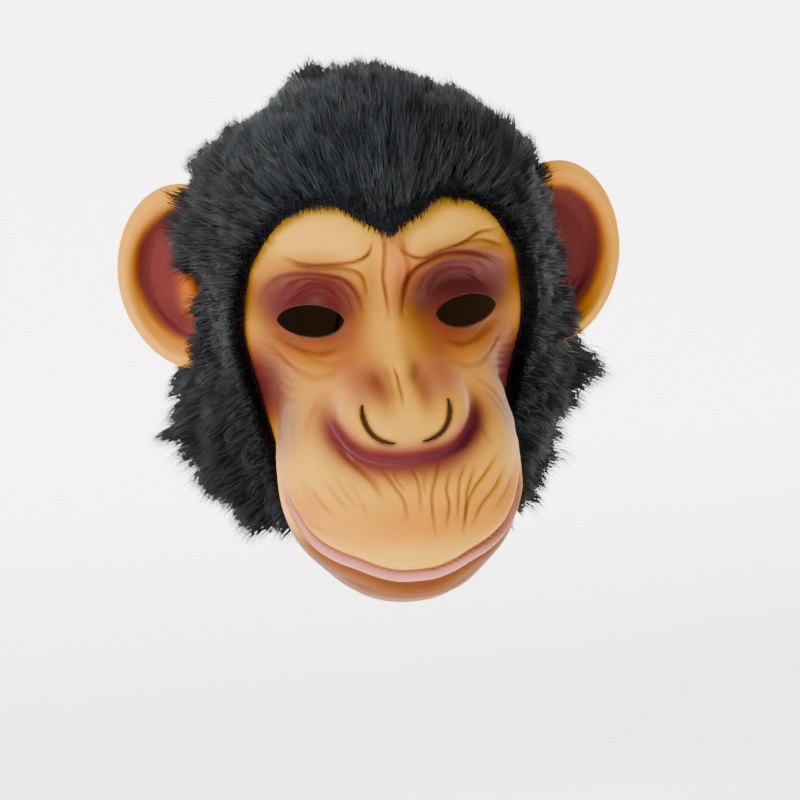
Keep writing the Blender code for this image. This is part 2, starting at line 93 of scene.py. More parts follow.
def ramp(value: Array, start: float, end: float) -> Array:
    """Smooth step: with t = (value - start) / (end - start) held to 0..1, 3 t^2 - 2 t^3."""
    t = np.clip((value - start) / (end - start), 0.0, 1.0)
    return t * t * (3 - 2 * t)


def oval(x: Array, z: Array, centre: Place, half: Place, power: float = 2.0) -> Array:
    """exp(-r^power), where r^2 = ((x - cx)/a)^2 + ((z - cz)/b)^2.

    Args:
        x: Places sideways.
        z: Places upwards.
        centre: Middle of the oval.
        half: Half width and half height, where the value has fallen to 1/e.
        power: 2 for a soft oval, more for steeper sides.

    Returns:
        1 in the middle, falling to 0 outside.
    """
    spread = np.hypot((x - centre[0]) / half[0], (z - centre[1]) / half[1])
    return np.exp(-(spread**power))


def smooth_curve(at: Array, places: Array, values: Array) -> Array:
    """Cubic Hermite curve through (places, values), with slopes by central differences.

    Args:
        at: Where to read the curve.
        places: The rows' places, rising.
        values: The rows' values.

    Returns:
        The curve at each place, level beyond its ends.
    """
    slopes = np.gradient(values, places)
    index = np.clip(np.searchsorted(places, at) - 1, 0, len(places) - 2)
    step = places[index + 1] - places[index]
    t = np.clip((at - places[index]) / step, 0.0, 1.0)
    rise = values[index + 1] - values[index]
    bend = slopes[index] * (t**3 - 2 * t**2 + t) + slopes[index + 1] * (t**3 - t**2)
    return values[index] + rise * (3 * t**2 - 2 * t**3) + step * bend


def through(path: tuple[Place, ...], per_span: int = 7) -> Array:
    """Points of a Catmull-Rom curve through a path.

    Between p1 and p2: p = (2 p1 + (p2 - p0) t + (2 p0 - 5 p1 + 4 p2 - p3) t^2
    + (3 p1 - p0 - 3 p2 + p3) t^3) / 2.

    Args:
        path: The places that the curve passes.
        per_span: Points for each stretch between two places.

    Returns:
        The points, one row each.
    """
    knots = np.array(path, float)
    ends = np.vstack([2 * knots[0] - knots[1], knots, 2 * knots[-1] - knots[-2]])
    t = np.linspace(0.0, 1.0, per_span, endpoint=False)[None, :, None]
    p0, p1, p2, p3 = (ends[k : k + len(knots) - 1][:, None] for k in range(4))
    curve = 2 * p1 + (p2 - p0) * t + (2 * p0 - 5 * p1 + 4 * p2 - p3) * t**2
    curve = 0.5 * (curve + (3 * p1 - p0 - 3 * p2 + p3) * t**3)
    return np.vstack([curve.reshape(-1, 2), knots[-1]])


@dataclass(frozen=True)
class Line:
    """A smooth line drawn on the face as seen from the front, in millimetres.

    Attributes:
        path: Places (x, z) that it passes.
        half_width: Distance from the line at which its effect falls to 1/e.
        height: How far it raises the latex, or sinks it when below 0.
        tint: How much dark colour lies along it, 0 to 1: painted shade in the creases and nostril slits, and the purple
            paint of the nose's trench.
        mirrored: Whether the other half of the face has it too.
        lip: Share of the height that swells back beside a groove.
    """

    path: tuple[Place, ...]
    half_width: float
    height: float
    tint: float = 0.0
    mirrored: bool = True
    lip: float = 0.35

    def nearness(self, x: Array, z: Array) -> tuple[Array, Array]:
        """Distance to the line and how much of the line's strength is left near its ends.

        Args:
            x: Places sideways.
            z: Places upwards.

        Returns:
            Distance d, and the fade min(1, 5 u (1 - u) + 0.1), u being the share of the way along.
        """
        curve = through(self.path)
        nearest = np.full(np.shape(x), 99.0)
        share = np.zeros(np.shape(x))
        spans = len(curve) - 1
        for k in range(spans):
            run = curve[k + 1] - curve[k]
            t = ((x - curve[k, 0]) * run[0] + (z - curve[k, 1]) * run[1]) / max(run @ run, TINY)
            t = np.clip(t, 0.0, 1.0)
            gap = np.hypot(x - curve[k, 0] - t * run[0], z - curve[k, 1] - t * run[1])
            share = np.where(gap < nearest, (k + t) / spans, share)
            nearest = np.minimum(nearest, gap)
        return nearest, np.clip(5 * share * (1 - share) + 0.1, 0.0, 1.0)

    def effect(self, x: Array, z: Array) -> tuple[Array, Array]:
        """Relief and darkening of the line.

        With q = (d / half_width)^2, the relief is height * fade * (exp(-q) - lip q exp(-q / 1.6)).

        Args:
            x: Places sideways.
            z: Places upwards.

        Returns:
            The relief in millimetres and the tint.
        """
        across = np.abs(x) if self.mirrored else x
        curve = through(self.path)
        reach = 4.5 * self.half_width
        low = curve.min(axis=0) - reach
        high = curve.max(axis=0) + reach
        near = (across > low[0]) & (across < high[0]) & (z > low[1]) & (z < high[1])
        relief = np.zeros(np.shape(x))
        tint = np.zeros(np.shape(x))
        if near.any():
            distance, fade = self.nearness(across[near], z[near])
            q = (distance / self.half_width) ** 2
            relief[near] = self.height * fade * (np.exp(-q) - self.lip * q * np.exp(-q / 1.6))
            tint[near] = self.tint * fade * np.exp(-1.3 * q)
        return relief, tint


@dataclass(frozen=True)
class Section:
    """One level section of the head, as shares of the head's sizes.

    Attributes:
        level: Drop below the ear line as a share of the chin's drop.
        width: Half width.
        back: Reach backwards.
        front: Reach forwards without the muzzle.
        squareness: Power of the superellipse.
        muzzle_width: Half width of the muzzle.
        muzzle_reach: Reach of the muzzle.
    """

    level: float
    width: float
    back: float
    front: float
    squareness: float
    muzzle_width: float
    muzzle_reach: float


HEAD_SECTIONS = (
    Section(-0.090, 0.985, 0.990, 1.000, 2.60, 0.10, 0.50),
    Section(0.026, 1.000, 1.000, 0.975, 2.70, 0.20, 0.57),
    Section(0.156, 1.000, 0.980, 0.935, 2.60, 0.57, 0.685),
    Section(0.273, 0.980, 0.930, 0.866, 2.40, 0.82, 0.80),
    Section(0.377, 0.945, 0.873, 0.800, 2.20, 0.94, 0.89),
    Section(0.494, 0.910, 0.804, 0.720, 2.10, 0.99, 0.945),
    Section(0.623, 0.870, 0.735, 0.660, 2.00, 1.00, 0.98),
    Section(0.740, 0.835, 0.686, 0.620, 2.00, 0.97, 1.00),
    Section(0.844, 0.805, 0.657, 0.580, 2.00, 0.87, 0.98),
    Section(0.935, 0.790, 0.637, 0.540, 2.00, 0.67, 0.91),
    Section(1.000, 0.775, 0.627, 0.520, 2.00, 0.53, 0.81),
)


@dataclass
class HeadForm:
    """Smooth form of the latex head, in millimetres from the ear line.

    Every level is a superellipse |x/a|^n + |y/b|^n = 1 for the skull and one for the muzzle, and the
    head's reach from an upright axis at each angle is the larger of the two, blended over `soft`.
    """

    crown_rise: float = 84.0
    chin_drop: float = 153.0
    nape_drop: float = 128.0
    half_width: float = 80.0
    back_reach: float = 102.0
    brow_reach: float = 97.0
    muzzle_reach: float = 151.0
    muzzle_half_width: float = 61.5
    soft: float = 20.0
    wall: float = 2.4
    axis_y: float = field(init=False)

    def __post_init__(self) -> None:
        """Sets the upright axis a quarter of the way to the brow."""
        self.axis_y = -0.26 * self.brow_reach

    def placed(self, points: Array) -> Array:
        """Metres from the inside of the crown, for millimetres from the ear line.

        Args:
            points: Places from the ear line.

        Returns:
            Places in the row's frame.
        """
        shift = np.array([0.0, -self.axis_y, self.wall - self.crown_rise])
        return (points + shift) * MILLIMETRE

    def column(self, name: str, level: Array) -> Array:
        """One column of the section table, read at a level by a smooth curve."""
        places = np.array([section.level for section in HEAD_SECTIONS])
        values = np.array([getattr(section, name) for section in HEAD_SECTIONS])
        return smooth_curve(level, places, values)

    def reach(self, angle: Array, half_width: Array, back: Array, front: Array, power: Array) -> Array:
        """Distance r from the axis to |x/a|^n + |(y - m)/b|^n = 1, by halving an interval.

        Args:
            angle: Angle from straight ahead.
            half_width: a.
            back: Reach of the section behind.
            front: Reach of the section in front.
            power: n.

        Returns:
            The distances.
        """
        middle = (back - front) / 2
        half_depth = (back + front) / 2
        low = np.zeros(np.shape(angle))
        high = np.full(np.shape(angle), 3 * self.muzzle_reach)
        sine = np.abs(np.sin(angle)) / half_width
        for _ in range(30):
            r = (low + high) / 2
            along = np.abs((self.axis_y - r * np.cos(angle) - middle) / half_depth)
            inside = (r * sine) ** power + along**power < 1
            low = np.where(inside, r, low)
            high = np.where(inside, high, r)
        return (low + high) / 2

    def climb(self, height: Array) -> Array:
        """Share of the way from the brow up to the crown."""
        brow = -HEAD_SECTIONS[0].level * self.chin_drop
        return np.clip((height - brow) / (self.crown_rise - brow), 0.0, 1.0 - 1e-6)

    def points(self, angle: Array, height: Array) -> Array:
        """Places on the form, (r sin a, y0 - r cos a, height).

        Above the brow the sections shrink by (1 - c^2.15)^(1/2.15), c being the climb.

        Args:
            angle: Angle from straight ahead.
            height: Height above the ear line.

        Returns:
            The places.
        """
        level = np.maximum(-height / self.chin_drop, HEAD_SECTIONS[0].level)
        climb = self.climb(height)
        dome = (1 - climb**2.15) ** (1 / 2.15)
        skull = self.reach(
            angle,
            self.column("width", level) * dome * self.half_width,
            self.column("back", level) * dome * self.back_reach + (1 - dome) * self.axis_y,
            self.column("front", level) * dome * self.brow_reach - (1 - dome) * self.axis_y,
            self.column("squareness", level) - 0.5 * climb,
        )
        muzzle = self.reach(
            angle,
            self.column("muzzle_width", level) * self.muzzle_half_width,
            np.full(np.shape(angle), -0.1 * self.brow_reach),
            self.column("muzzle_reach", level) * self.muzzle_reach,
            2.15,
        )
        fade = np.clip((0.16 - climb) / 0.16, 0.0, 1.0)
        overlap = np.clip(self.soft - np.abs(skull - muzzle), 0.0, None)
        r = np.maximum(skull, muzzle * fade) + fade * overlap**2 / (4 * self.soft)
        return np.stack([r * np.sin(angle), self.axis_y - r * np.cos(angle), height], -1)

    def rim(self, angle: Array) -> Array:
        """Height of the open lower edge, lowest under the chin."""
        ahead = (0.5 + 0.5 * np.cos(angle)) ** 1.2
        return -self.nape_drop - (self.chin_drop - self.nape_drop) * ahead

    def height(self, angle: Array, down: Array) -> Array:
        """Height of a place between the crown, down 0, and the rim, down 1.

        To 0.28 it is crown * cos(turn), turn rising to 62 degrees, and below that it is linear.

        Args:
            angle: Angle from straight ahead.
            down: Share of the way down.

        Returns:
            The heights.
        """
        turn = np.clip(down / 0.28, 0.0, 1.0) * math.radians(62.0)
        shoulder = self.crown_rise * math.cos(math.radians(62.0))
        over = self.crown_rise * np.cos(turn)
        below = shoulder + (self.rim(angle) - shoulder) * (down - 0.28) / 0.72
        return np.where(down < 0.28, over, below)

    def on_disc(self, across: Array, ahead: Array) -> Array:
        """Places over a flat disc, with the crown at its middle and the rim at radius 1."""
        down = np.hypot(across, ahead)
        angle = np.arctan2(across, ahead)
        return self.points(angle, self.height(angle, down))

    def normal(self, across: Array, ahead: Array) -> Array:
        """Outward direction, the cross product of steps to both sides on the disc."""
        step = 2e-3
        along = self.on_disc(across + step, ahead) - self.on_disc(across - step, ahead)
        up = self.on_disc(across, ahead + step) - self.on_disc(across, ahead - step)
        return unit(np.cross(up, along))


def mirrored_pair(path: tuple[Place, ...]) -> tuple[Place, ...]:
    """A path that runs through its own mirror image and then itself."""
    return tuple((-x, z) for x, z in reversed(path)) + path


# Creases of the face, each a groove with its tint, which is painted shade in the groove.
FACE_LINES = (
    Line(((-52, 17), (-41, 13.5), (-29, 13), (-17, 14), (-10, 17), (-7, 23)), 1.1, -1.3, 0.75, False),
    Line(((-48, 15), (-40, 12), (-23, 11), (-14, 7), (-11, -4)), 1.2, -1.4, 0.55, False),
    Line(((-44, 21), (-34, 19), (-24, 18)), 1.6, -0.35, 0.05, False),
    Line(((5, 20), (9, 15.5), (16, 13.5), (25, 16), (37, 19), (46, 23), (57, 23)), 1.1, -1.3, 0.7, False),
    Line(((37, 19), (48, 19), (60, 14)), 1.1, -0.8, 0.4, False),
    Line(((-65, -9), (-60, 1), (-51, 7), (-41, 8.5), (-31, 7), (-22, 4), (-16, -4), (-14, -13)), 1.5, -1.7, 0.8, False),
    Line(((-61, -9), (-54, -1), (-45, 4), (-37, 5), (-28, 1.5), (-21, -5), (-19, -14)), 1.2, -1.1, 0.7, False),
    Line(((-57, -9), (-49, -3), (-40, 0.5), (-31, -1.5), (-24, -8)), 1.2, -1.1, 0.7, False),
    Line(((7, -12), (8, 0), (14, 9), (25, 14), (36, 14.5), (47, 12), (57, 7), (64, 0)), 1.5, -1.7, 0.8, False),
    Line(((13, -8), (17, 3), (26, 9), (37, 9.5), (49, 5.5), (58, -2)), 1.2, -1.1, 0.7, False),
    Line(((19, -9), (25, 1), (36, 4), (47, 1), (55, -6)), 1.2, -1.1, 0.7, False),
    Line(((-3, 29), (-1.5, 22), (-2, 12), (-3, 4), (-2, -6), (-1, -16)), 1.2, -1.2, 0.4, False),
    Line(((6, 26), (8, 17), (9.5, 8), (8, -4), (5, -14)), 1.5, -1.1, 0.3, False),
    Line(((-3, -35), (-1.5, -41), (-1.5, -49)), 0.9, -1.1, 0.5, False),
    Line(((-7, -36), (-5.5, -41), (-5, -46)), 1.2, -0.6, 0.15, False),
    Line(((-60, -24), (-48, -31), (-36, -33), (-25, -29)), 1.4, -1.0, 0.45, False),
    Line(((60, -24), (48, -31), (36, -33), (25, -29)), 1.4, -1.0, 0.45, False),
    Line(((-62, -31), (-50, -39), (-38, -41), (-27, -37)), 1.4, -0.7, 0.3, False),
    Line(((62, -31), (50, -39), (38, -41), (27, -37)), 1.4, -0.7, 0.3, False),
    Line(((36, -43), (46, -53), (52, -63), (58, -74), (63, -86)), 1.3, -0.75, 0.25, False),
    Line(((41, -50), (47, -60), (53, -72)), 1.1, -0.55, 0.2, False),
    Line(((34, -55), (37, -65), (42, -76)), 1.3, -0.5, 0.15, False),
    Line(((-38, -48), (-44, -58), (-47, -68)), 1.3, -0.5, 0.15, False),
    Line(((-33, -70), (-28, -75), (-19, -83), (-13, -92)), 1.2, -1.1, 0.35, False),
    Line(((-27, -74), (-19, -81), (-14, -87)), 0.9, -0.8, 0.3, False),
    Line(((-14, -77), (-8, -86), (-4, -93), (-3, -102)), 1.0, -0.9, 0.35, False),
    Line(((-46, -88), (-43, -94), (-36, -101)), 1.1, -0.7, 0.25, False),
    Line(((-50, -84), (-48, -92), (-44, -99)), 1.2, -0.5, 0.15, False),
    Line(((-39, -85), (-35, -91), (-30, -97)), 1.0, -0.7, 0.22, False),
    Line(((-35, -81), (-31, -89), (-25, -96)), 1.1, -0.6, 0.2, False),
    Line(((-29, -83), (-24, -92), (-21, -100)), 1.0, -0.5, 0.18, False),
    Line(((-8, -79), (-6, -84), (-3, -88)), 0.9, -0.5, 0.18, False),
    Line(((1, -79), (3.5, -86), (3.5, -98)), 0.95, -0.8, 0.3, False),
    Line(((9, -79), (6, -86), (6, -91)), 0.9, -0.5, 0.15, False),
    Line(((16, -76), (12, -84), (9, -93), (9.5, -110)), 1.0, -1.0, 0.4, False),
    Line(((20, -81), (16.5, -89), (17, -97), (14.5, -107)), 1.0, -1.0, 0.4, False),
    Line(((27, -80), (23, -88), (20.5, -104)), 1.0, -0.9, 0.35, False),
    Line(((33, -80), (27, -91), (25.5, -97), (22.5, -111)), 1.05, -1.0, 0.4, False),
    Line(((45, -78), (37, -86), (30, -92), (25.5, -100), (23.5, -110)), 1.15, -1.1, 0.4, False),
    Line(((47, -86), (41, -94), (33, -100), (27, -109)), 1.15, -1.0, 0.35, False),
    Line(((52, -92), (46, -99), (38, -105)), 1.3, -0.6, 0.2, False),
    Line(((-56, -100), (-50, -105), (-40, -109)), 1.3, -0.5, 0.15, False),
    Line(((24, -139), (12, -142), (0, -142.5), (-13, -141.5)), 0.9, -0.5, 0.3, False),
    Line(((-34, -134), (-26, -138), (-18, -139)), 0.9, -0.5, 0.3, False),
    Line(((33, -132), (28, -137), (20, -140)), 0.9, -0.5, 0.3, False),
)


class Spray(Enum):
    """The paints that are sprayed on the latex, with their colours; the pale highlight paint is a painted highlight,
    and the oxblood and the pitch are painted shade.
    """

    MAROON = paint(76, 22, 29)
    OXBLOOD = paint(58, 12, 14)
    PLUM = paint(112, 44, 50)
    ROSE = paint(216, 126, 60)
    RUSSET = paint(126, 44, 32)
    TOFFEE = paint(212, 112, 22)
    UMBER = paint(116, 56, 20)
    LIP_PINK = paint(236, 146, 136)
    MAUVE = paint(134, 60, 66)
    # Painted highlight: a paler copy of the base latex, laid on raised forms.
    PAINTED_HIGHLIGHT = paint(252, 190, 60)
    PITCH = paint(24, 10, 8)


@dataclass(frozen=True)
class Patch:
    """An oval of sprayed paint on the face.

    Attributes:
        colour: The paint.
        centre: Its middle (x, z) in millimetres.
        half: Half width and half height.
        strength: Share of the paint in the middle.
        power: Steepness of the edge.
        mirrored: Whether the other half of the face has it too.
        turn: Turn of the oval in degrees, anticlockwise on the viewer's right.
    """

    colour: Spray
    centre: Place
    half: Place
    strength: float
    power: float = 2.0
    mirrored: bool = True
    turn: float = 0.0

    def mask(self, x: Array, z: Array) -> Array:
        """Share of the paint at each place."""
        across = np.abs(x) if self.mirrored else x
        sine, cosine = math.sin(math.radians(self.turn)), math.cos(math.radians(self.turn))
        u = (across - self.centre[0]) * cosine + (z - self.centre[1]) * sine
        v = (z - self.centre[1]) * cosine - (across - self.centre[0]) * sine
        return self.strength * oval(u, v, (0.0, 0.0), self.half, self.power)


FACE_PATCHES = (
    Patch(Spray.TOFFEE, (0.0, -104.0), (46.0, 13.0), 0.62, 2.6),
    Patch(Spray.TOFFEE, (50.0, -100.0), (11.0, 12.0), 0.55),
    Patch(Spray.TOFFEE, (66.0, 8.0), (10.0, 26.0), 0.45),
    Patch(Spray.TOFFEE, (34.0, -36.0), (30.0, 12.0), 0.60),
    Patch(Spray.ROSE, (3.0, 10.0), (8.5, 26.0), 0.85, 2.6, False),
    # Painted highlight: paler yellow on the raised upper lip and on the brows.
    Patch(Spray.PAINTED_HIGHLIGHT, (0.0, -119.0), (34.0, 4.5), 0.70),
    Patch(Spray.PAINTED_HIGHLIGHT, (36.0, 27.0), (22.0, 9.0), 0.45),
    Patch(Spray.RUSSET, (67.0, -56.0), (20.0, 32.0), 0.92, 3.2, True, 8.0),
    Patch(Spray.MAROON, (67.0, -58.0), (15.5, 26.0), 0.88, 2.8, True, 8.0),
    Patch(Spray.RUSSET, (-40.0, -7.0), (31.5, 24.0), 0.85, 4.0, False),
    Patch(Spray.RUSSET, (37.0, -4.0), (35.0, 26.0), 0.85, 4.0, False),
    Patch(Spray.MAROON, (-40.0, -8.5), (29.0, 21.5), 0.95, 5.0, False),
    Patch(Spray.MAROON, (37.0, -5.5), (32.0, 23.5), 0.95, 5.0, False),
    Patch(Spray.RUSSET, (22.0, -26.0), (12.0, 10.0), 0.55),
    Patch(Spray.RUSSET, (44.0, -28.0), (22.0, 8.0), 0.50),
)


@dataclass(frozen=True)
class MouthRow:
    """A place on the mouth line.

    Attributes:
        out: Distance sideways from the middle.
        height: Height from the ear line.
    """

    out: float
    height: float


@dataclass(frozen=True)
class Socket:
    """One eye socket, which the worn mask shows a little higher and wider on the viewer's right.

    Attributes:
        centre: Its middle (x, z) in millimetres.
        half: Half width and half height.
    """

    centre: Place
    half: Place


SOCKETS = (Socket((-40.0, -14.5), (26.0, 21.0)), Socket((37.5, -12.0), (29.0, 23.0)))

NOSTRIL_LINE = ((5.0, -65.6), (10.5, -65.0), (15.5, -62.2), (19.0, -57.6), (20.6, -52.0), (20.3, -47.6))

MOUTH = (
    MouthRow(0.0, -128.0),
    MouthRow(9.0, -127.6),
    MouthRow(18.0, -125.0),
    MouthRow(27.0, -121.4),
    MouthRow(37.0, -118.4),
    MouthRow(46.0, -113.4),
    MouthRow(52.0, -106.5),
    MouthRow(57.0, -97.0),
    MouthRow(62.0, -84.0),
)


@dataclass
class FaceRelief:
    """Moulded relief and paint of the face, read from the places as seen from the front."""

    socket_depth: float = 13.0
    eye_out: float = 39.5
    eye_drop: float = 14.5
    nose_drop: float = 57.0
    nose_half: Place = (31.5, 17.0)
    nose_height: float = 10.5
    trench_depth: float = 5.5
    base_colour: Colour = paint(250, 176, 40)
    # Plain latex darkened as painted shade inside the head.
    inside_shaded_colour: Colour = paint(84, 62, 42)

    def lip_line(self, x: Array) -> Array:
        """Height of the mouth line, by a smooth curve through the mouth's rows."""
        places = np.array([row.out for row in MOUTH])
        heights = np.array([row.height for row in MOUTH])
        return smooth_curve(np.abs(x), places, heights)

    def trench_path(self) -> tuple[Place, ...]:
        """The groove round the nose lobe, from one side of the bridge under to the other."""
        half = ((0.0, -75.5), (13.0, -74.5), (25.0, -71.0), (33.0, -63.0), (35.0, -53.0), (31.0, -43.0))
        return mirrored_pair(half[1:])

    def nose(self, x: Array, z: Array) -> Array:
        """Height of the nose lobe: the larger of two wings and the tip, less a groove between."""
        side = np.abs(x)
        wing = oval(side, z, (14.5, -self.nose_drop + 1.5), (16.5, 15.0), 4.0)
        tip = oval(side, z, (0.0, -self.nose_drop - 3.5), (17.0, 13.5), 4.0)
        root = 0.55 * oval(side, z, (0.0, -self.nose_drop + 16.0), (7.5, 14.0), 2.6)
        lobe = np.log(np.exp(6 * wing) + np.exp(6 * tip) + np.exp(6 * root) - 2.0) / 6
        hollow = 0.42 * oval(side, z, (9.5, -self.nose_drop + 13.5), (4.8, 7.5), 2.2)
        return self.nose_height * (lobe - hollow)

    def eyes(self, x: Array, z: Array) -> Array:
        """Height of the eye sockets: oval hollows, each with a ball in it."""
        hollow = sum(oval(x, z, row.centre, row.half, 3.6) for row in SOCKETS)
        ball = oval(np.abs(x), z, (self.eye_out, -self.eye_drop - 2.0), (18.5, 13.0), 2.6)
        return self.socket_depth * (0.62 * ball - hollow)

    def forms(self, x: Array, z: Array) -> Array:
        """The broad forms: brow, valley, cheeks, upper lip and chin, as soft ovals.

        Args:
            x: Places sideways.
            z: Places upwards.

        Returns:
            Height in millimetres.
        """
        side = np.abs(x)
        height = 2.8 * oval(side, z, (31.0, 28.0), (23.0, 13.0), 2.6)
        height += 3.6 * oval(side, z, (40.0, 9.0), (24.0, 6.5), 2.4)
        height += 2.6 * oval(side, z, (16.0, 4.0), (7.0, 18.0), 2.2)
        height -= 3.4 * oval(side, z, (3.0, 8.0), (7.5, 24.0), 2.4)
        height += 2.2 * oval(x, z, (3.0, 2.0), (4.0, 20.0), 2.0)
        height += 2.2 * oval(side, z, (40.0, -36.0), (20.0, 5.0), 2.2)
        height -= 3.4 * oval(side, z, (67.0, -54.0), (12.0, 20.0), 2.4)
        height += 2.8 * oval(side, z, (0.0, -101.0), (46.0, 20.0), 2.4)
        height += 1.6 * oval(side, z, (45.0, -72.0), (12.0, 16.0), 2.2)
        height += 1.8 * oval(side, z, (0.0, -143.0), (32.0, 6.0), 2.4)
        return height

    def lips(self, x: Array, z: Array) -> Array:
        """Height of the mouth: a slit along the mouth line and a full roll below it."""
        below = z - self.lip_line(x)
        fade = 1 - ramp(np.abs(x), 55.0, 62.0)
        roll = np.exp(-(np.abs((below + 2.9) / 2.4) ** 2.6))
        slit = np.exp(-((below / 1.5) ** 2)) * (1 - 0.6 * ramp(np.abs(x), 40.0, 52.0))
        upper = np.exp(-(((below - 5.5) / 4.5) ** 2))
        under = np.exp(-(((below + 7.4) / 2.6) ** 2))
        return fade * (2.4 * roll - 2.0 * slit + 1.0 * upper - 1.8 * under)

    def height(self, points: Array) -> Array:
        """Relief above the smooth form at places from the ear line.

        Args:
            points: Places on the smooth form.

        Returns:
            Height in millimetres, 0 away from the face.
        """
        x, y, z = points[..., 0], points[..., 1], points[..., 2]
        relief = self.forms(x, z) + self.eyes(x, z) + self.nose(x, z) + self.lips(x, z)
        trench = Line(self.trench_path(), 5.4, -self.trench_depth, mirrored=False, lip=0.0)
        relief = relief + trench.effect(x, z)[0]
        for line in FACE_LINES:
            relief = relief + line.effect(x, z)[0]
        relief = relief + self.radial_lines(x, z)
        return relief * ramp(-y, 28.0, 62.0)

    def radial_lines(self, x: Array, z: Array) -> Array:
        """Fine lines in the reddish cheeks, fanning out: sin of the angle round a point inside."""
        side = np.abs(x)
        fan = np.arctan2(z + 30.0, side - 30.0)
        lines = np.sin(40.0 * fan + 5.0 * np.sin(0.14 * z + 0.11 * x))
        return 0.55 * lines * oval(side, z, (66.0, -54.0), (14.0, 24.0), 3.0)

    def tint(self, x: Array, z: Array) -> Array:
        """How much painted shade lies in the creases."""
        total = np.zeros(np.shape(x))
        for line in FACE_LINES:
            total = np.maximum(total, line.effect(x, z)[1])
        return total

    def colours(self, points: Array) -> tuple[Array, Array]:
        """Painted colour and gloss at places from the ear line.

        Each paint is mixed over the last: c = c + (paint - c) * mask.

        Args:
            points: Places on the finished latex.

        Returns:
            Linear colours, and gloss from 0 (satin) to 1 (wet).
        """
        x, y, z = points[..., 0], points[..., 1], points[..., 2]
        face = ramp(-y, 5.0, 35.0)
        colour = np.broadcast_to(np.array(self.base_colour), (*np.shape(x), 3)).copy()
        gloss = np.zeros(np.shape(x))

        def spray(paint_colour: Spray, mask: Array, shine: float = 0.0) -> None:
            """Mixes one paint over the colour so far."""
            nonlocal colour, gloss
            share = np.clip(mask, 0.0, 1.0) * face
            colour = blend(colour, np.array(paint_colour.value), share[..., None])
            gloss = np.maximum(gloss, shine * share)

        shiny = {Spray.MAROON: 0.60, Spray.OXBLOOD: 0.4, Spray.RUSSET: 0.2}
        for patch in FACE_PATCHES:
            spray(patch.colour, patch.mask(x, z), shiny.get(patch.colour, 0.0))
        side = np.abs(x)
        trench = Line(self.trench_path(), 8.6, 0.0, 1.0, False)
        halo = Line(self.trench_path(), 12.0, 0.0, 1.0, False)
        spray(Spray.MAUVE, 0.80 * halo.effect(x, z)[1] * (1 - 0.5 * ramp(z, -62, -45)), 0.2)
        spray(Spray.PLUM, 1.10 * trench.effect(x, z)[1] * (1 - 0.35 * ramp(z, -62, -45)), 0.7)
        spray(Spray.MAUVE, 0.70 * oval(side, z, (18.0, -41.0), (11.0, 9.0), 2.4), 0.2)
        spray(Spray.PLUM, 0.70 * oval(side, z, (9.5, -43.5), (5.2, 9.5), 2.2), 0.3)
        # Painted shade: near-black along the nostril slits, standing in for the dark holes.
        nostril_shade = Line(NOSTRIL_LINE, 1.9, 0.0, 1.0, True)
        spray(Spray.PITCH, 1.5 * nostril_shade.effect(x, z)[1], 0.1)
        below = z - self.lip_line(x)
        mouth = 1 - ramp(side, 56.0, 63.0)
        # Brown chin paint below the lip roll, darkened also as painted shade under the lip.
        spray(Spray.UMBER, ramp(-below, 4.0, 7.5) * ramp(-z, 108.0, 122.0) * 0.95)
        spray(Spray.LIP_PINK, mouth * np.exp(-(np.abs((below + 2.9) / 2.9) ** 4)) * 1.1, 0.2)
        spray(Spray.PLUM, mouth * np.exp(-((below / 1.3) ** 2)) * 0.80, 0.2)
        # Painted shade: a plum line in the groove under the lip roll.
        spray(Spray.PLUM, mouth * np.exp(-(((below + 6.6) / 1.2) ** 2)) * 0.60, 0.2)
        # Painted shade in the creases: russet, and oxblood, deeper where the latex is glossy.
        painted_crease_shade = self.tint(x, z)
        spray(Spray.RUSSET, 1.15 * painted_crease_shade)
        spray(Spray.OXBLOOD, 1.2 * painted_crease_shade * np.maximum(gloss, 0.6))
        return colour, gloss


@dataclass(frozen=True)
class Surface:
    """Points and faces of one mesh, faces as rows of corner numbers with -1 for no fourth corner."""

    points: Array
    faces: Array


def grid_faces(rows: int, columns: int, closed: bool, first: int = 0) -> Array:
    """Quads of a grid of points stored row by row.

    Args:
        rows: Rows of points.
        columns: Columns of points.
        closed: Whether the last column joins the first.
        first: Number of the grid's first point.

    Returns:
        One row of four corner numbers for each quad.
    """
    r, c = np.meshgrid(np.arange(rows - 1), np.arange(columns if closed else columns - 1), indexing="ij")
    n = (c + 1) % columns
    corners = [r * columns + c, (r + 1) * columns + c, (r + 1) * columns + n, r * columns + n]
    return first + np.stack(corners, -1).reshape(-1, 4)


def triangles(corners: Array) -> Array:
    """Triangles with the empty fourth corner that Surface wants."""
    return np.hstack([corners, np.full((len(corners), 1), -1)])


def mesh_object(name: str, surface: Surface, smooth: bool = True) -> bpy.types.Object:
    """Makes an object from arrays.

    Args:
        name: The object's name.
        surface: Its points in metres and its faces.
        smooth: Whether the faces are shaded smooth.

    Returns:
        The object, linked to the scene.
    """
    faces = surface.faces
    sizes = np.where(faces[:, 3] < 0, 3, 4)
    corners = faces.reshape(-1)
    corners = corners[corners >= 0]
    mesh = bpy.data.meshes.new(name)
    mesh.vertices.add(len(surface.points))
    mesh.vertices.foreach_set("co", np.ascontiguousarray(surface.points, np.float32).ravel())
    mesh.loops.add(len(corners))
    mesh.loops.foreach_set("vertex_index", corners.astype(np.int32))
    mesh.polygons.add(len(faces))
    starts = np.concatenate([[0], np.cumsum(sizes)[:-1]])
    mesh.polygons.foreach_set("loop_start", starts.astype(np.int32))
    mesh.polygons.foreach_set("use_smooth", np.full(len(faces), smooth))
    mesh.update(calc_edges=True)
    made = bpy.data.objects.new(name, mesh)
    bpy.context.scene.collection.objects.link(made)
    return made


def mesh_points(made: bpy.types.Object) -> Array:
    """The places of an object's vertices."""
    points = np.empty(len(made.data.vertices) * 3, np.float32)
    made.data.vertices.foreach_get("co", points)
    return points.reshape(-1, 3).astype(float)


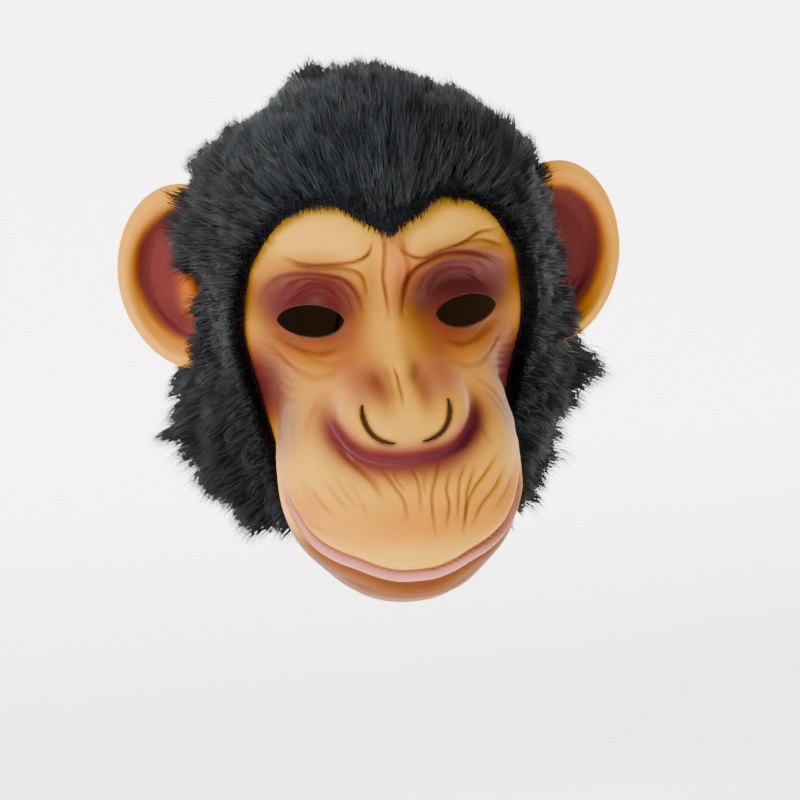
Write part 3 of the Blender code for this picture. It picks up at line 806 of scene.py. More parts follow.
def write_colours(made: bpy.types.Object, name: str, colours: Array) -> None:
    """Stores a linear colour for each vertex under a name."""
    layer = made.data.attributes.new(name, "FLOAT_COLOR", "POINT")
    four = np.hstack([colours, np.ones((len(colours), 1))])
    layer.data.foreach_set("color", four.astype(np.float32).ravel())


def write_values(made: bpy.types.Object, name: str, values: Array) -> None:
    """Stores a number for each vertex under a name."""
    layer = made.data.attributes.new(name, "FLOAT", "POINT")
    layer.data.foreach_set("value", values.astype(np.float32))


def read_values(made: bpy.types.Object, name: str) -> Array:
    """The numbers stored for each vertex under a name."""
    values = np.empty(len(made.data.vertices), np.float32)
    made.data.attributes[name].data.foreach_get("value", values)
    return values.astype(float)


def subtract(made: bpy.types.Object, cutter: bpy.types.Object) -> None:
    """Takes a cutter's shape out of an object for good, and removes the cutter.

    Args:
        made: The object that is cut.
        cutter: The closed shape that is taken away.
    """
    modifier = made.modifiers.new("cut", "BOOLEAN")
    modifier.operation = "DIFFERENCE"
    modifier.solver = "EXACT"
    modifier.object = cutter
    bpy.context.view_layer.update()
    graph = bpy.context.evaluated_depsgraph_get()
    cut_mesh = bpy.data.meshes.new_from_object(made.evaluated_get(graph))
    old = made.data
    made.modifiers.clear()
    made.data = cut_mesh
    bpy.data.meshes.remove(old)
    bpy.data.objects.remove(cutter, do_unlink=True)


class NodeSketch:
    """A short way to lay out shader nodes in a material or a node group."""

    def __init__(self, tree: bpy.types.NodeTree) -> None:
        """Starts on a node tree."""
        self.tree = tree
        self.across = 0

    def add(self, kind: str, **settings: object) -> bpy.types.Node:
        """Adds a node, and sets its properties and its numbered or named inputs.

        Args:
            kind: The node's type.
            settings: Properties by name, or `inputs` as a dictionary of socket values.

        Returns:
            The node.
        """
        node = self.tree.nodes.new(kind)
        node.location = (self.across, 0)
        self.across += 180
        values = settings.pop("inputs", {})
        for name, value in settings.items():
            setattr(node, name, value)
        for name, value in values.items():
            self.feed(node, name, value)
        return node

    def feed(self, node: bpy.types.Node, name: str | int, value: object) -> None:
        """Links an output to an input, or sets the input's value."""
        if isinstance(value, bpy.types.NodeSocket):
            self.tree.links.new(value, node.inputs[name])
        else:
            node.inputs[name].default_value = value

    def mix(self, a: object, b: object, share: object, mode: str = "MIX") -> bpy.types.NodeSocket:
        """A colour mixed from a to b."""
        node = self.add("ShaderNodeMix", data_type="RGBA", blend_type=mode)
        self.feed(node, 0, share)
        self.feed(node, 6, a)
        self.feed(node, 7, b)
        return node.outputs[2]

    def maths(self, operation: str, a: object, b: object = 0.0) -> bpy.types.NodeSocket:
        """The result of a sum on two numbers."""
        node = self.add("ShaderNodeMath", operation=operation)
        self.feed(node, 0, a)
        self.feed(node, 1, b)
        return node.outputs[0]

    def span(self, value: object, low: float, high: float, to_low: float, to_high: float) -> bpy.types.NodeSocket:
        """A number carried from one range to another."""
        node = self.add("ShaderNodeMapRange")
        for index, number in enumerate((value, low, high, to_low, to_high)):
            self.feed(node, index, number)
        return node.outputs[0]


def noise_group(name: str) -> bpy.types.ShaderNodeTree:
    """A node group for mottling: noise at two scales on Object coordinates.

    value = 0.5 + spread * (0.7 (n1 - 0.5) + 0.3 (n2 - 0.5)), n2 being four times finer.

    Args:
        name: The group's name.

    Returns:
        The group, with inputs Scale and Spread and outputs Value and Fine.
    """
    group = bpy.data.node_groups.new(name, "ShaderNodeTree")
    group.interface.new_socket("Scale", in_out="INPUT", socket_type="NodeSocketFloat")
    group.interface.new_socket("Spread", in_out="INPUT", socket_type="NodeSocketFloat")
    group.interface.new_socket("Value", in_out="OUTPUT", socket_type="NodeSocketFloat")
    group.interface.new_socket("Fine", in_out="OUTPUT", socket_type="NodeSocketFloat")
    sketch = NodeSketch(group)
    given = sketch.add("NodeGroupInput")
    place = sketch.add("ShaderNodeTexCoord").outputs["Object"]
    broad = sketch.add("ShaderNodeTexNoise", inputs={"Vector": place, "Scale": given.outputs["Scale"], "Detail": 3.0})
    fine_scale = sketch.maths("MULTIPLY", given.outputs["Scale"], 4.0)
    fine = sketch.add("ShaderNodeTexNoise", inputs={"Vector": place, "Scale": fine_scale, "Detail": 4.0})
    first = sketch.maths("MULTIPLY", sketch.maths("SUBTRACT", broad.outputs[0], 0.5), 0.7)
    second = sketch.maths("MULTIPLY", sketch.maths("SUBTRACT", fine.outputs[0], 0.5), 0.3)
    swing = sketch.maths("MULTIPLY", sketch.maths("ADD", first, second), given.outputs["Spread"])
    result = sketch.add("NodeGroupOutput")
    sketch.feed(result, "Value", sketch.maths("ADD", swing, 0.5))
    sketch.feed(result, "Fine", fine.outputs[0])
    return group


@dataclass(frozen=True)
class LatexFinish:
    """Sprayed latex: the vertex paint with a faint mottle, glossier where the paint is thick.

    Attributes:
        name: The material's name.
        satin: Roughness of the plain latex.
        wet: Roughness where the gloss is full.
        mottle: Spread of the mottling.
        grain: Depth of the skin grain in metres.
    """

    name: str
    satin: float = 0.60
    wet: float = 0.24
    mottle: float = 0.5
    grain: float = 0.00022

    def material(self, mottling: bpy.types.ShaderNodeTree) -> bpy.types.Material:
        """Builds the material.

        Args:
            mottling: The shared mottling group.

        Returns:
            The material.
        """
        made = bpy.data.materials.new(self.name)
        made.use_nodes = True
        sketch = NodeSketch(made.node_tree)
        shader = made.node_tree.nodes["Principled BSDF"]
        colour = sketch.add("ShaderNodeAttribute", attribute_name="paint").outputs["Color"]
        gloss = sketch.add("ShaderNodeAttribute", attribute_name="gloss").outputs["Fac"]
        broad = sketch.add("ShaderNodeGroup", node_tree=mottling, inputs={"Scale": 45.0, "Spread": self.mottle})
        skin = sketch.add("ShaderNodeGroup", node_tree=mottling, inputs={"Scale": 420.0, "Spread": 1.0})
        light = sketch.span(broad.outputs["Value"], 0.3, 0.7, 0.90, 1.08)
        grey = sketch.add("ShaderNodeCombineColor", inputs={0: light, 1: light, 2: light}).outputs[0]
        sketch.feed(shader, "Base Color", sketch.mix(colour, grey, 1.0, "MULTIPLY"))
        rough = sketch.span(gloss, 0.0, 1.0, self.satin, self.wet)
        swing = sketch.span(broad.outputs["Fine"], 0.3, 0.7, -0.05, 0.05)
        sketch.feed(shader, "Roughness", sketch.maths("ADD", rough, swing))
        bump = sketch.add("ShaderNodeBump", inputs={"Strength": 0.5, "Distance": self.grain})
        sketch.feed(bump, "Height", skin.outputs["Value"])
        sketch.feed(shader, "Normal", bump.outputs[0])
        shader.inputs["IOR"].default_value = 1.3
        shader.inputs["Specular IOR Level"].default_value = 0.22
        return made


@dataclass(frozen=True)
class PileFinish:
    """Fake fur: near-black hair that pales to blue-grey towards its tips, the near-black at the roots being painted
    shade deep in the pile.

    Attributes:
        name: The material's name.
        root: Colour at the backing, near-black as painted shade.
        tip: Colour at the tips.
        gloss: Roughness of the hair.
    """

    name: str
    root: Colour = paint(4, 4, 5)
    tip: Colour = paint(48, 52, 58)
    gloss: float = 0.5

    def material(self, mottling: bpy.types.ShaderNodeTree) -> bpy.types.Material:
        """Builds the material from the hair's `shade`, 0 at the root and up to 1 at the tip, which paints shade at the
        roots and sheen on the crown's tips.

        Args:
            mottling: The shared mottling group.

        Returns:
            The material.
        """
        made = bpy.data.materials.new(self.name)
        made.use_nodes = True
        sketch = NodeSketch(made.node_tree)
        shader = made.node_tree.nodes["Principled BSDF"]
        shade = sketch.add("ShaderNodeAttribute", attribute_name="shade").outputs["Fac"]
        broad = sketch.add("ShaderNodeGroup", node_tree=mottling, inputs={"Scale": 70.0, "Spread": 1.2})
        lift = sketch.maths("MULTIPLY", shade, sketch.span(broad.outputs["Value"], 0.3, 0.7, 0.75, 1.2))
        colour = sketch.mix((*self.root, 1.0), (*self.tip, 1.0), lift)
        sketch.feed(shader, "Base Color", colour)
        shader.inputs["Roughness"].default_value = self.gloss
        shader.inputs["Specular IOR Level"].default_value = 0.24
        strands = sketch.add("ShaderNodeBump", inputs={"Strength": 0.3, "Distance": 0.0003})
        sketch.feed(strands, "Height", broad.outputs["Fine"])
        sketch.feed(shader, "Normal", strands.outputs[0])
        return made


@dataclass
class LatexHead:
    """The latex head: a fine outer skin with the moulded face, and a plainer inner skin, painted dark as the shade
    inside the head.
    """

    form: HeadForm
    relief: FaceRelief
    face_columns: int = 256
    back_columns: int = 44
    crown_rows: int = 12
    face_rows: int = 212
    face_half_angle: float = 80.0
    slot_half: Place = (16.5, 8.5)
    nostril_inner: float = 6.0
    nostril_turn: float = 14.5
    nostril_slit: float = 1.8

    def columns(self) -> Array:
        """Angles of the columns: half * (0.5 t + 0.5 t^3) over the face, then even to the back."""
        half = math.radians(self.face_half_angle)
        t = np.linspace(-1.0, 1.0, self.face_columns + 1)
        back = np.linspace(half, 2 * math.pi - half, self.back_columns)[1:-1]
        return np.concatenate([half * (0.5 * t + 0.5 * t**3), back, [math.pi * 2 - half * 1.0]])[:-1]

    def rows(self) -> Array:
        """Places of the rows from crown to rim, close together over the face."""
        crown = np.linspace(0.0, 0.24, self.crown_rows + 1)[1:]
        return np.concatenate([crown, np.linspace(0.24, 1.0, self.face_rows + 1)[1:]])

    def skin(self, angles: Array, downs: Array, outside: bool) -> Array:
        """Crown point and rows of one skin.

        The outer skin is form + normal * relief, and the inner one lies a wall's thickness below it.

        Args:
            angles: Angles of the columns.
            downs: Places of the rows.
            outside: Whether it is the outer skin.

        Returns:
            Its points in millimetres.
        """
        angle, down = np.meshgrid(angles, downs)
        across, ahead = down * np.sin(angle), down * np.cos(angle)
        points = self.form.on_disc(across, ahead)
        offset = self.relief.height(points) - (0.0 if outside else self.form.wall)
        points = points + self.form.normal(across, ahead) * offset[..., None]
        top = self.form.crown_rise - (0.0 if outside else self.form.wall)
        return np.vstack([[0.0, self.form.axis_y, top], points.reshape(-1, 3)])

    def wall(self) -> tuple[Surface, Array]:
        """Both skins, the inner one at half the rows and columns, joined round the rim.

        Returns:
            The closed surface, and 1 for each point of the outer skin or 0 for the inner one.
        """
        angles, downs = self.columns(), self.rows()
        coarse_angles, coarse_downs = angles[::2], downs[1::2]
        outer = self.skin(angles, downs, True)
        inner = self.skin(coarse_angles, coarse_downs, False)
        columns, rows = len(angles), len(downs)
        few, low_rows = len(coarse_angles), len(coarse_downs)
        start = len(outer)
        c = np.arange(columns)
        d = np.arange(few)
        fan = np.stack([np.zeros(columns, int), 1 + c, 1 + (c + 1) % columns], -1)
        inner_fan = np.stack([np.full(few, start), start + 1 + (d + 1) % few, start + 1 + d], -1)
        rim = 1 + (rows - 1) * columns
        inner_rim = start + 1 + (low_rows - 1) * few
        a, m, b = rim + 2 * d, rim + 2 * d + 1, rim + (2 * d + 2) % columns
        e, f = inner_rim + d, inner_rim + (d + 1) % few
        strip = np.vstack([np.stack(t, -1) for t in ((a, e, m), (m, e, f), (m, f, b))])
        faces = [
            triangles(fan),
            grid_faces(rows, columns, True, 1),
            triangles(inner_fan),
            grid_faces(low_rows, few, True, start + 1)[:, ::-1],
            triangles(strip),
        ]
        outside = np.concatenate([np.ones(len(outer)), np.zeros(len(inner))])
        return Surface(self.form.placed(np.vstack([outer, inner])), np.vstack(faces)), outside

    def cutters(self) -> Surface:
        """Prisms along Y for the two eye openings and the two nostril slits."""
        turns = np.linspace(0.0, 2 * math.pi, 40, endpoint=False)
        lift = np.sign(np.sin(turns)) * np.abs(np.sin(turns)) ** 1.25
        eye_x = self.relief.eye_out + self.slot_half[0] * np.cos(turns)
        eye_z = -self.relief.eye_drop - 2.4 + self.slot_half[1] * lift
        bend = np.linspace(-math.radians(88.0), math.radians(12.0), 24)
        taper = 0.5 * self.nostril_slit * np.sin(np.linspace(0.16, math.pi - 0.16, 24)) ** 0.5
        sides = [(self.nostril_turn + taper, 1), (self.nostril_turn - taper, -1)]
        slit_x = np.concatenate([(self.nostril_inner + r * np.cos(bend))[::o] for r, o in sides])
        slit_z = np.concatenate([(-self.relief.nose_drop + 6.0 + r * np.sin(bend))[::o] for r, o in sides])
        shapes = ((eye_x, eye_z, -110.0, -42.0), (slit_x, slit_z, -175.0, -80.0))
        points, faces, first = [], [], 0
        for side in (-1, 1):
            for out, up, front, back in shapes:
                x, z, count = (side * out)[::side], up[::side], len(out)
                for y in (front, back):
                    points.append(np.stack([x, np.full(count, y), z], -1))
                k = np.arange(count)
                n = (k + 1) % count
                quads = first + np.stack([k, k + count, n + count, n], -1)
                middle = np.array([[x.mean(), front, z.mean()], [x.mean(), back, z.mean()]])
                points.append(middle)
                caps = [
                    np.stack([first + k, first + n, np.full(count, first + 2 * count)], -1),
                    np.stack([first + count + n, first + count + k, np.full(count, first + 2 * count + 1)], -1),
                ]
                faces += [quads, triangles(caps[0]), triangles(caps[1])]
                first += 2 * count + 2
        return Surface(self.form.placed(np.vstack(points)), np.vstack(faces))

    def build(self, material: bpy.types.Material) -> bpy.types.Object:
        """Makes, cuts and paints the head.

        Args:
            material: The latex.

        Returns:
            The finished object.
        """
        surface, outside = self.wall()
        head = mesh_object("painted_latex_head", surface)
        write_values(head, "outside", outside)
        cutter = mesh_object("eye_and_nostril_cutter", self.cutters(), False)
        face_outwards(cutter)
        subtract(head, cutter)
        points = mesh_points(head) / MILLIMETRE
        points = points - self.form.placed(np.zeros(3)) / MILLIMETRE
        colour, gloss = self.relief.colours(points)
        shown = read_values(head, "outside")
        gloss = gloss * shown
        # The inner skin takes the dark inside colour, painted shade inside the head.
        colour = blend(np.array(self.relief.inside_shaded_colour), colour, shown[:, None])
        write_colours(head, "paint", colour)
        write_values(head, "gloss", gloss)
        head.data.materials.clear()
        head.data.materials.append(material)
        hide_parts("latex_head")
        return head


def face_outwards(made: bpy.types.Object) -> None:
    """Turns the faces of a closed mesh out, when its signed volume is below 0."""
    mesh = made.data
    mesh.calc_loop_triangles()
    corners = np.empty(len(mesh.loop_triangles) * 3, np.int32)
    mesh.loop_triangles.foreach_get("vertices", corners)
    p = mesh_points(made)[corners.reshape(-1, 3)]
    if np.einsum("ij,ij->i", p[:, 0], np.cross(p[:, 1], p[:, 2])).sum() < 0:
        mesh.flip_normals()


@dataclass
class Ear:
    """One cupped latex ear, drawn on its own plane and turned to the side of the head.

    On the plane, u runs outwards and v up, both from -1 to 1 at the edge of the ear.
    """

    side: int
    form: HeadForm
    standoff: float = 22.0
    half: Place = (37.0, 48.5)
    rise: float = -1.0
    skin: float = 3.2
    cup: float = 10.0
    turn: float = 14.0
    spokes: int = 168
    rings: int = 46

    def outline(self, turn: Array) -> tuple[Array, Array]:
        """Half sizes at each turn: an ellipse, up to a tenth narrower below."""
        narrow = 1.0 - 0.10 * np.clip(-np.sin(turn), 0.0, 1.0) ** 2
        return self.half[0] * np.cos(turn) * narrow, self.half[1] * np.sin(turn)

    def front(self, turn: Array, share: Array) -> Array:
        """How far the front stands forward: a cup, a trench, an inner fold, a hollow and the rim.

        Args:
            turn: Direction on the plane, 0 outwards.
            share: 0 at the ear's middle, 1 at its edge.

        Returns:
            Millimetres forward of the ear's plane.
        """
        u, v = share * np.cos(turn), share * np.sin(turn)
        cup = self.cup * (0.8 * share**2 - 0.5)
        edge = 0.86 - 0.05 * np.sin(turn)
        rim = 3.4 * ramp(share, edge - 0.14, edge + 0.02) * (1 - 0.75 * ramp(share, 0.90, 1.02))
        trench = -3.4 * np.exp(-(((share - 0.60) / 0.14) ** 2)) * (0.65 + 0.35 * np.cos(turn))
        fold = 4.4 * oval(u, v, (-0.06, -0.18), (0.22, 0.36), 2.6)
        hollow = -7.0 * oval(u, v, (-0.34, 0.04), (0.22, 0.30), 2.4)
        lower = -1.8 * oval(u, v, (-0.05, -0.56), (0.42, 0.12), 2.4)
        line = 0.7 * np.sin(60 * share + 2.0 * turn) * oval(u, v, (0.30, -0.45), (0.34, 0.20), 2.0)
        line = line + 0.06 * np.sin(30.0 * turn + 7.0 * share) * oval(u, v, (0.30, 0.25), (0.40, 0.40), 2.4)
        return cup + rim + trench + fold + hollow + lower + line

    def colours(self, turn: Array, share: Array, forward: Array) -> tuple[Array, Array]:
        """Painted colour and gloss, worked out on the ear's own plane.

        Args:
            turn: Direction on the plane.
            share: Share of the way to the edge.
            forward: 1 on the front, 0 on the back.

        Returns:
            Linear colours and gloss.
        """
        u, v = share * np.cos(turn), share * np.sin(turn)
        colour = np.broadcast_to(np.array(paint(246, 164, 36)), (*np.shape(u), 3)).copy()
        gloss = np.zeros(np.shape(u))
        edge = 0.88 - 0.07 * np.clip(np.sin(turn), 0.0, 1.0) - 0.08 * np.clip(-np.sin(turn - 0.5), 0.0, 1.0)
        bowl = ramp(-share, -edge, -edge + 0.13)
        bump = oval(u, v, (-0.06, -0.18), (0.22, 0.34), 2.8)
        stripes = 0.5 + 0.5 * np.sin(30.0 * turn + 7.0 * share + 2.0 * np.sin(9.0 * share))
        layers = (
            (Spray.TOFFEE, 0.60 * ramp(-share, -edge - 0.10, -edge + 0.04), 0.0),
            (Spray.RUSSET, 0.92 * bowl, 0.0),
            (Spray.MAROON, bowl * (0.66 + 0.05 * stripes), 0.15),
            (Spray.MAUVE, 0.28 * bowl, 0.15),
            (Spray.PLUM, 0.75 * bowl * oval(u, v, (0.30, -0.52), (0.42, 0.26), 2.4), 0.6),
            (Spray.TOFFEE, 0.95 * bump, 0.0),
            (Spray.RUSSET, 0.80 * oval(u, v, (-0.20, -0.04), (0.10, 0.18), 2.2), 0.0),
            # Painted shadow: oxblood in the ear's hollow by its root.
            (Spray.OXBLOOD, 0.85 * oval(u, v, (-0.48, -0.02), (0.15, 0.26), 2.4), 0.2),
        )
        for tone, mask, shine in layers:
            share_here = np.clip(mask, 0.0, 1.0) * forward
            colour = blend(colour, np.array(tone.value), share_here[..., None])
            gloss = np.maximum(gloss, shine * share_here)
        return colour, gloss

    def shell(self) -> tuple[Surface, Array, Array]:
        """The ear's closed shell with its paint.

        Rings run from the middle of the front out to the edge, round it and back in behind.

        Returns:
            The surface, its colours and its gloss.
        """
        turns = np.linspace(0.0, 2 * math.pi, self.spokes, endpoint=False)
        shares = 1 - (1 - np.linspace(0.0, 1.0, self.rings + 1)[1:]) ** 1.25
        bend = np.linspace(0.0, math.pi, 9)[1:-1]
        behind = np.linspace(1.0, 0.0, self.rings // 2 + 1)[1:-1]
        turn, share = np.meshgrid(turns, np.concatenate([shares, np.ones(len(bend)), behind]))
        out, up = self.outline(turn)
        depth = self.front(turn, share)
        forward = np.zeros(share.shape)
        forward[: self.rings] = 1.0
        edge = slice(self.rings, self.rings + len(bend))
        depth[edge] -= 0.5 * self.skin * (1 - np.cos(bend))[:, None]
        grow = 1 + 0.5 * self.skin / self.half[0] * np.sin(bend)[:, None]
        back = slice(self.rings + len(bend), None)
        smooth_back = self.cup * (0.8 * share**2 - 0.5) + 0.7 - self.skin
        depth[back] = blend(depth[back] - self.skin, smooth_back[back], (1 - share[back]) * 3)
        depth[back] = np.minimum(depth[back], self.front(turn[back], share[back]) - 0.6 * self.skin)
        x, z = share * out, share * up
        x[edge] *= grow
        z[edge] *= grow
        middle_front = [0.0, float(self.front(np.zeros(1), np.zeros(1))[0]), 0.0]
        middle_back = [0.0, middle_front[1] - 1.2 * self.skin, 0.0]
        local = np.vstack([middle_front, np.stack([x, depth, z], -1).reshape(-1, 3), middle_back])
        count, rows = self.spokes, len(share)
        k = np.arange(count)
        n = (k + 1) % count
        last = 1 + (rows - 1) * count
        caps = np.stack([np.zeros(count, int), 1 + k, 1 + n], -1)
        end = np.stack([last + k, np.full(count, len(local) - 1), last + n], -1)
        faces = np.vstack([triangles(caps), grid_faces(rows, count, True, 1), triangles(end)])
        sine, cosine = math.sin(math.radians(self.turn)), math.cos(math.radians(self.turn))
        world = np.stack(
            [
                self.side * (self.form.half_width + self.standoff + local[:, 0] * cosine + local[:, 1] * sine),
                local[:, 0] * sine - local[:, 1] * cosine,
                self.rise + local[:, 2],
            ],
            -1,
        )
        flat_turn = np.concatenate([[0.0], turn.ravel(), [0.0]])
        flat_share = np.concatenate([[0.0], share.ravel(), [0.0]])
        flat_forward = np.concatenate([[1.0], forward.ravel(), [0.0]])
        colour, gloss = self.colours(flat_turn, flat_share, flat_forward)
        return Surface(self.form.placed(world), faces), colour, gloss

    def plug(self) -> Surface:
        """The head's smooth outside grown by half a millimetre and closed below, to trim the root."""
        angles = np.linspace(0.0, 2 * math.pi, 72, endpoint=False)
        downs = np.linspace(0.0, 1.03, 50)[1:]
        angle, down = np.meshgrid(angles, downs)
        across, ahead = down * np.sin(angle), down * np.cos(angle)
        points = self.form.on_disc(across, ahead) + 0.5 * self.form.normal(across, ahead)
        top = [0.0, self.form.axis_y, self.form.crown_rise + 0.5]
        foot = [0.0, self.form.axis_y, float(points[-1, :, 2].mean())]
        k = np.arange(len(angles))
        n = (k + 1) % len(angles)
        last = 1 + (len(downs) - 1) * len(angles)
        end = len(angles) * len(downs) + 1
        faces = np.vstack(
            [
                triangles(np.stack([np.zeros(len(k), int), 1 + k, 1 + n], -1)),
                grid_faces(len(downs), len(angles), True, 1),
                triangles(np.stack([last + k, np.full(len(k), end), last + n], -1)),
            ]
        )
        return Surface(self.form.placed(np.vstack([top, points.reshape(-1, 3), foot])), faces)

    def build(self, material: bpy.types.Material) -> bpy.types.Object:
        """Makes, trims and paints the ear.

        Args:
            material: The latex.

        Returns:
            The finished object.
        """
        name = "left" if self.side > 0 else "right"
        surface, colour, gloss = self.shell()
        ear = mesh_object(f"painted_{name}_ear", surface)
        write_colours(ear, "paint", colour)
        write_values(ear, "gloss", gloss)
        face_outwards(ear)
        plug = mesh_object("root_cutter", self.plug(), False)
        face_outwards(plug)
        subtract(ear, plug)
        ear.data.materials.clear()
        ear.data.materials.append(material)
        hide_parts(f"{name}_ear")
        return ear


@dataclass(frozen=True)
class HairlineRow:
    """A place on the fur's front edge.

    Attributes:
        angle: Degrees from straight ahead.
        down: Share of the way from the crown to the rim.
    """

    angle: float
    down: float


HAIRLINE = (
    HairlineRow(0.0, 0.322),
    HairlineRow(10.0, 0.298),
    HairlineRow(22.0, 0.273),
    HairlineRow(38.0, 0.292),
    HairlineRow(50.0, 0.342),
    HairlineRow(59.0, 0.404),
    HairlineRow(67.0, 0.480),
    HairlineRow(75.0, 0.570),
    HairlineRow(82.0, 0.680),
    HairlineRow(84.0, 0.820),
    HairlineRow(80.0, 1.000),
)


@dataclass(frozen=True)
class DeepPile:
    """A place where the pile of a half panel is deeper, on the panel's own along and across."""

    along: float
    along_spread: float
    across: float
    across_spread: float
    added: float


DEEP_PILE = (
    DeepPile(0.30, 0.24, 0.72, 0.22, 2.60),
    DeepPile(0.50, 2.00, 0.00, 0.26, 0.45),
)


@dataclass(frozen=True)
class SidePile:
    """Depth that the pile gains or loses down the sides of the head.

    Attributes:
        height: Millimetres above the ear line.
        right: Millimetres added on the wearer's right.
        left: Millimetres added on the wearer's left.
    """

    height: float
    right: float
    left: float


SIDE_PILE = (
    SidePile(-150.0, -2.0, 0.0),
    SidePile(-125.0, 0.0, 5.0),
    SidePile(-105.0, 4.0, 6.0),
    SidePile(-85.0, 5.0, 3.0),
    SidePile(-65.0, 4.0, 2.0),
    SidePile(-50.0, -3.0, -1.0),
    SidePile(-30.0, -9.0, -5.0),
    SidePile(-10.0, -8.0, -5.0),
    SidePile(8.0, 0.0, -1.0),
    SidePile(25.0, 7.0, 1.0),
    SidePile(42.0, 9.0, 2.0),
    SidePile(58.0, 6.0, 1.0),
    SidePile(76.0, 1.0, -2.0),
    SidePile(100.0, 0.0, -3.0),
)


@dataclass
class FurPanel:
    """Half of the hood: a dense pelt on its backing, and loose hair in clumps over it.

    Along runs from the front edge to the back seam, and across from the crown's seam to the rim.
    """

    side: int
    form: HeadForm
    relief: FaceRelief
    depth: float = 10.0
    edge: float = 4.5
    seat_gap: float = 0.5
    pelt_share: float = 0.55
    hairs: int = 104000
    clumps: tuple[int, int] = (32, 36)
    tufts: tuple[int, int] = (9, 11)
    fringe_share: float = 0.13
    seed: int = 5

    def place(self, along: Array, across: Array) -> Array:
        """Disc places of a Coons patch between the panel's four edges.

        p = (1-s) front + s back + (1-t) seam + t rim - corners.

        Args:
            along: s, 0 at the front edge.
            across: t, 0 at the crown's seam.

        Returns:
            Across and ahead on the disc.
        """
        rows = np.linspace(0.0, 1.0, len(HAIRLINE))
        angles = np.radians(smooth_curve(across, rows, np.array([row.angle for row in HAIRLINE])))
        downs = smooth_curve(across, rows, np.array([row.down for row in HAIRLINE]))
        front = np.stack([downs * np.sin(angles), downs * np.cos(angles)], -1)
        s, t = along[..., None], across[..., None]
        peak = np.array([0.0, HAIRLINE[0].down])
        back_top, nape = np.array([0.0, -0.42]), np.array([0.0, -1.0])
        jaw_angle = math.radians(HAIRLINE[-1].angle)
        jaw = np.array([math.sin(jaw_angle), math.cos(jaw_angle)])
        back = back_top + (nape - back_top) * t
        seam = peak + (back_top - peak) * s
        rim_angle = jaw_angle + (math.pi - jaw_angle) * along
        rim = np.stack([np.sin(rim_angle), np.cos(rim_angle)], -1)
        corners = (1 - s) * (1 - t) * peak + s * (1 - t) * back_top + (1 - s) * t * jaw + s * t * nape
        return (1 - s) * front + s * back + (1 - t) * seam + t * rim - corners

    def pile(self, along: Array, across: Array) -> Array:
        """Depth of the fur: its edge's depth at the front, rising as 1 - exp(-s / 0.07).

        The depth of SIDE_PILE at the same height is added on the sides of the head.
        """
        deep = np.full(np.shape(along), 1.0)
        for spot in DEEP_PILE:
            spread = (spot.along_spread, spot.across_spread)
            deep = deep + spot.added * oval(along, across, (spot.along, spot.across), spread)
        disc = self.place(along, across)
        points = self.form.on_disc(disc[..., 0], disc[..., 1])
        heights = np.array([row.height for row in SIDE_PILE])
        added = np.array([row.left if self.side > 0 else row.right for row in SIDE_PILE])
        gain = smooth_curve(points[..., 2], heights, added) * ramp(np.abs(points[..., 0]), 45.0, 68.0)
        gain = gain * ramp(-points[..., 1], -32.0, -8.0)
        full = np.maximum(deep * self.depth + gain, 3.6)
        return self.edge + (full - self.edge) * (1 - np.exp(-along / 0.07))

    def pelt_depth(self, along: Array, across: Array) -> Array:
        """Depth of the dense part of the pile, a quarter as deep at the front edge."""
        return self.pile(along, across) * self.pelt_share * (0.25 + 0.75 * ramp(along, 0.0, 0.09))

    def crown_tufts(self, points: Array) -> Array:
        """Extra height of the tufts that stand up beside the crown's seam, as soft ovals."""
        x, y = points[..., 0] * self.side, points[..., 1]
        tall = 11.0 * oval(x, y, (-28.0, -10.0), (8.0, 40.0), 2.6) + 8.0 * oval(x, y, (2.0, -10.0), (6.0, 40.0), 2.6)
        tall = tall - 5.0 * oval(x, y, (-11.0, -10.0), (6.0, 40.0)) - 3.0 * oval(x, y, (26.0, -10.0), (22.0, 60.0))
        return tall * ramp(points[..., 2], 50.0, 70.0)

    def painted_sheen(self, points: Array) -> Array:
        """Painted sheen: how pale the tips are, a painted highlight palest in a patch on the crown, and darker by the
        face and below.
        """
        x, z = points[..., 0] * self.side, points[..., 2]
        return 0.62 + 0.75 * oval(x, z, (-24.0, 62.0), (48.0, 34.0), 2.4)

    def ground(self, along: Array, across: Array) -> tuple[Array, Array]:
        """Places on the latex under the panel, and the outward directions there."""
        disc = self.place(along, across)
        points = self.form.on_disc(disc[..., 0], disc[..., 1])
        normal = self.form.normal(disc[..., 0], disc[..., 1])
        lift = np.clip(self.relief.forms(points[..., 0], points[..., 2]), 0.0, None)
        lift = lift * ramp(-points[..., 1], 28.0, 62.0)
        return points + normal * lift[..., None], normal

    def cells(self, along: Array, across: Array, counts: tuple[int, int], seed: int) -> tuple[Array, Array, Array]:
        """The nearest of the jittered middles of a grid of cells.

        Args:
            along: Places along the panel.
            across: Places across it.
            counts: Cells along and across.
            seed: Seed of the jitter.

        Returns:
            Along and across of the nearest middle, and its number.
        """
        jitter = np.random.default_rng(seed).uniform(0.05, 0.95, (counts[0] + 2, counts[1] + 2, 2))
        u, v = along * counts[0], across * counts[1]
        i, j = np.floor(u).astype(int), np.floor(v).astype(int)
        best = np.full(np.shape(u), 99.0)
        middle_u, middle_v = u.copy(), v.copy()
        number = np.zeros(np.shape(u), int)
        for di in (-1, 0, 1):
            for dj in (-1, 0, 1):
                a = np.clip(i + di, -1, counts[0])
                b = np.clip(j + dj, -1, counts[1])
                cu = a + jitter[a + 1, b + 1, 0]
                cv = b + jitter[a + 1, b + 1, 1]
                gap = np.hypot(u - cu, v - cv)
                closer = gap < best
                best = np.where(closer, gap, best)
                middle_u = np.where(closer, cu, middle_u)
                middle_v = np.where(closer, cv, middle_v)
                number = np.where(closer, (a + 1) * (counts[1] + 2) + b + 1, number)
        return middle_u / counts[0], middle_v / counts[1], number

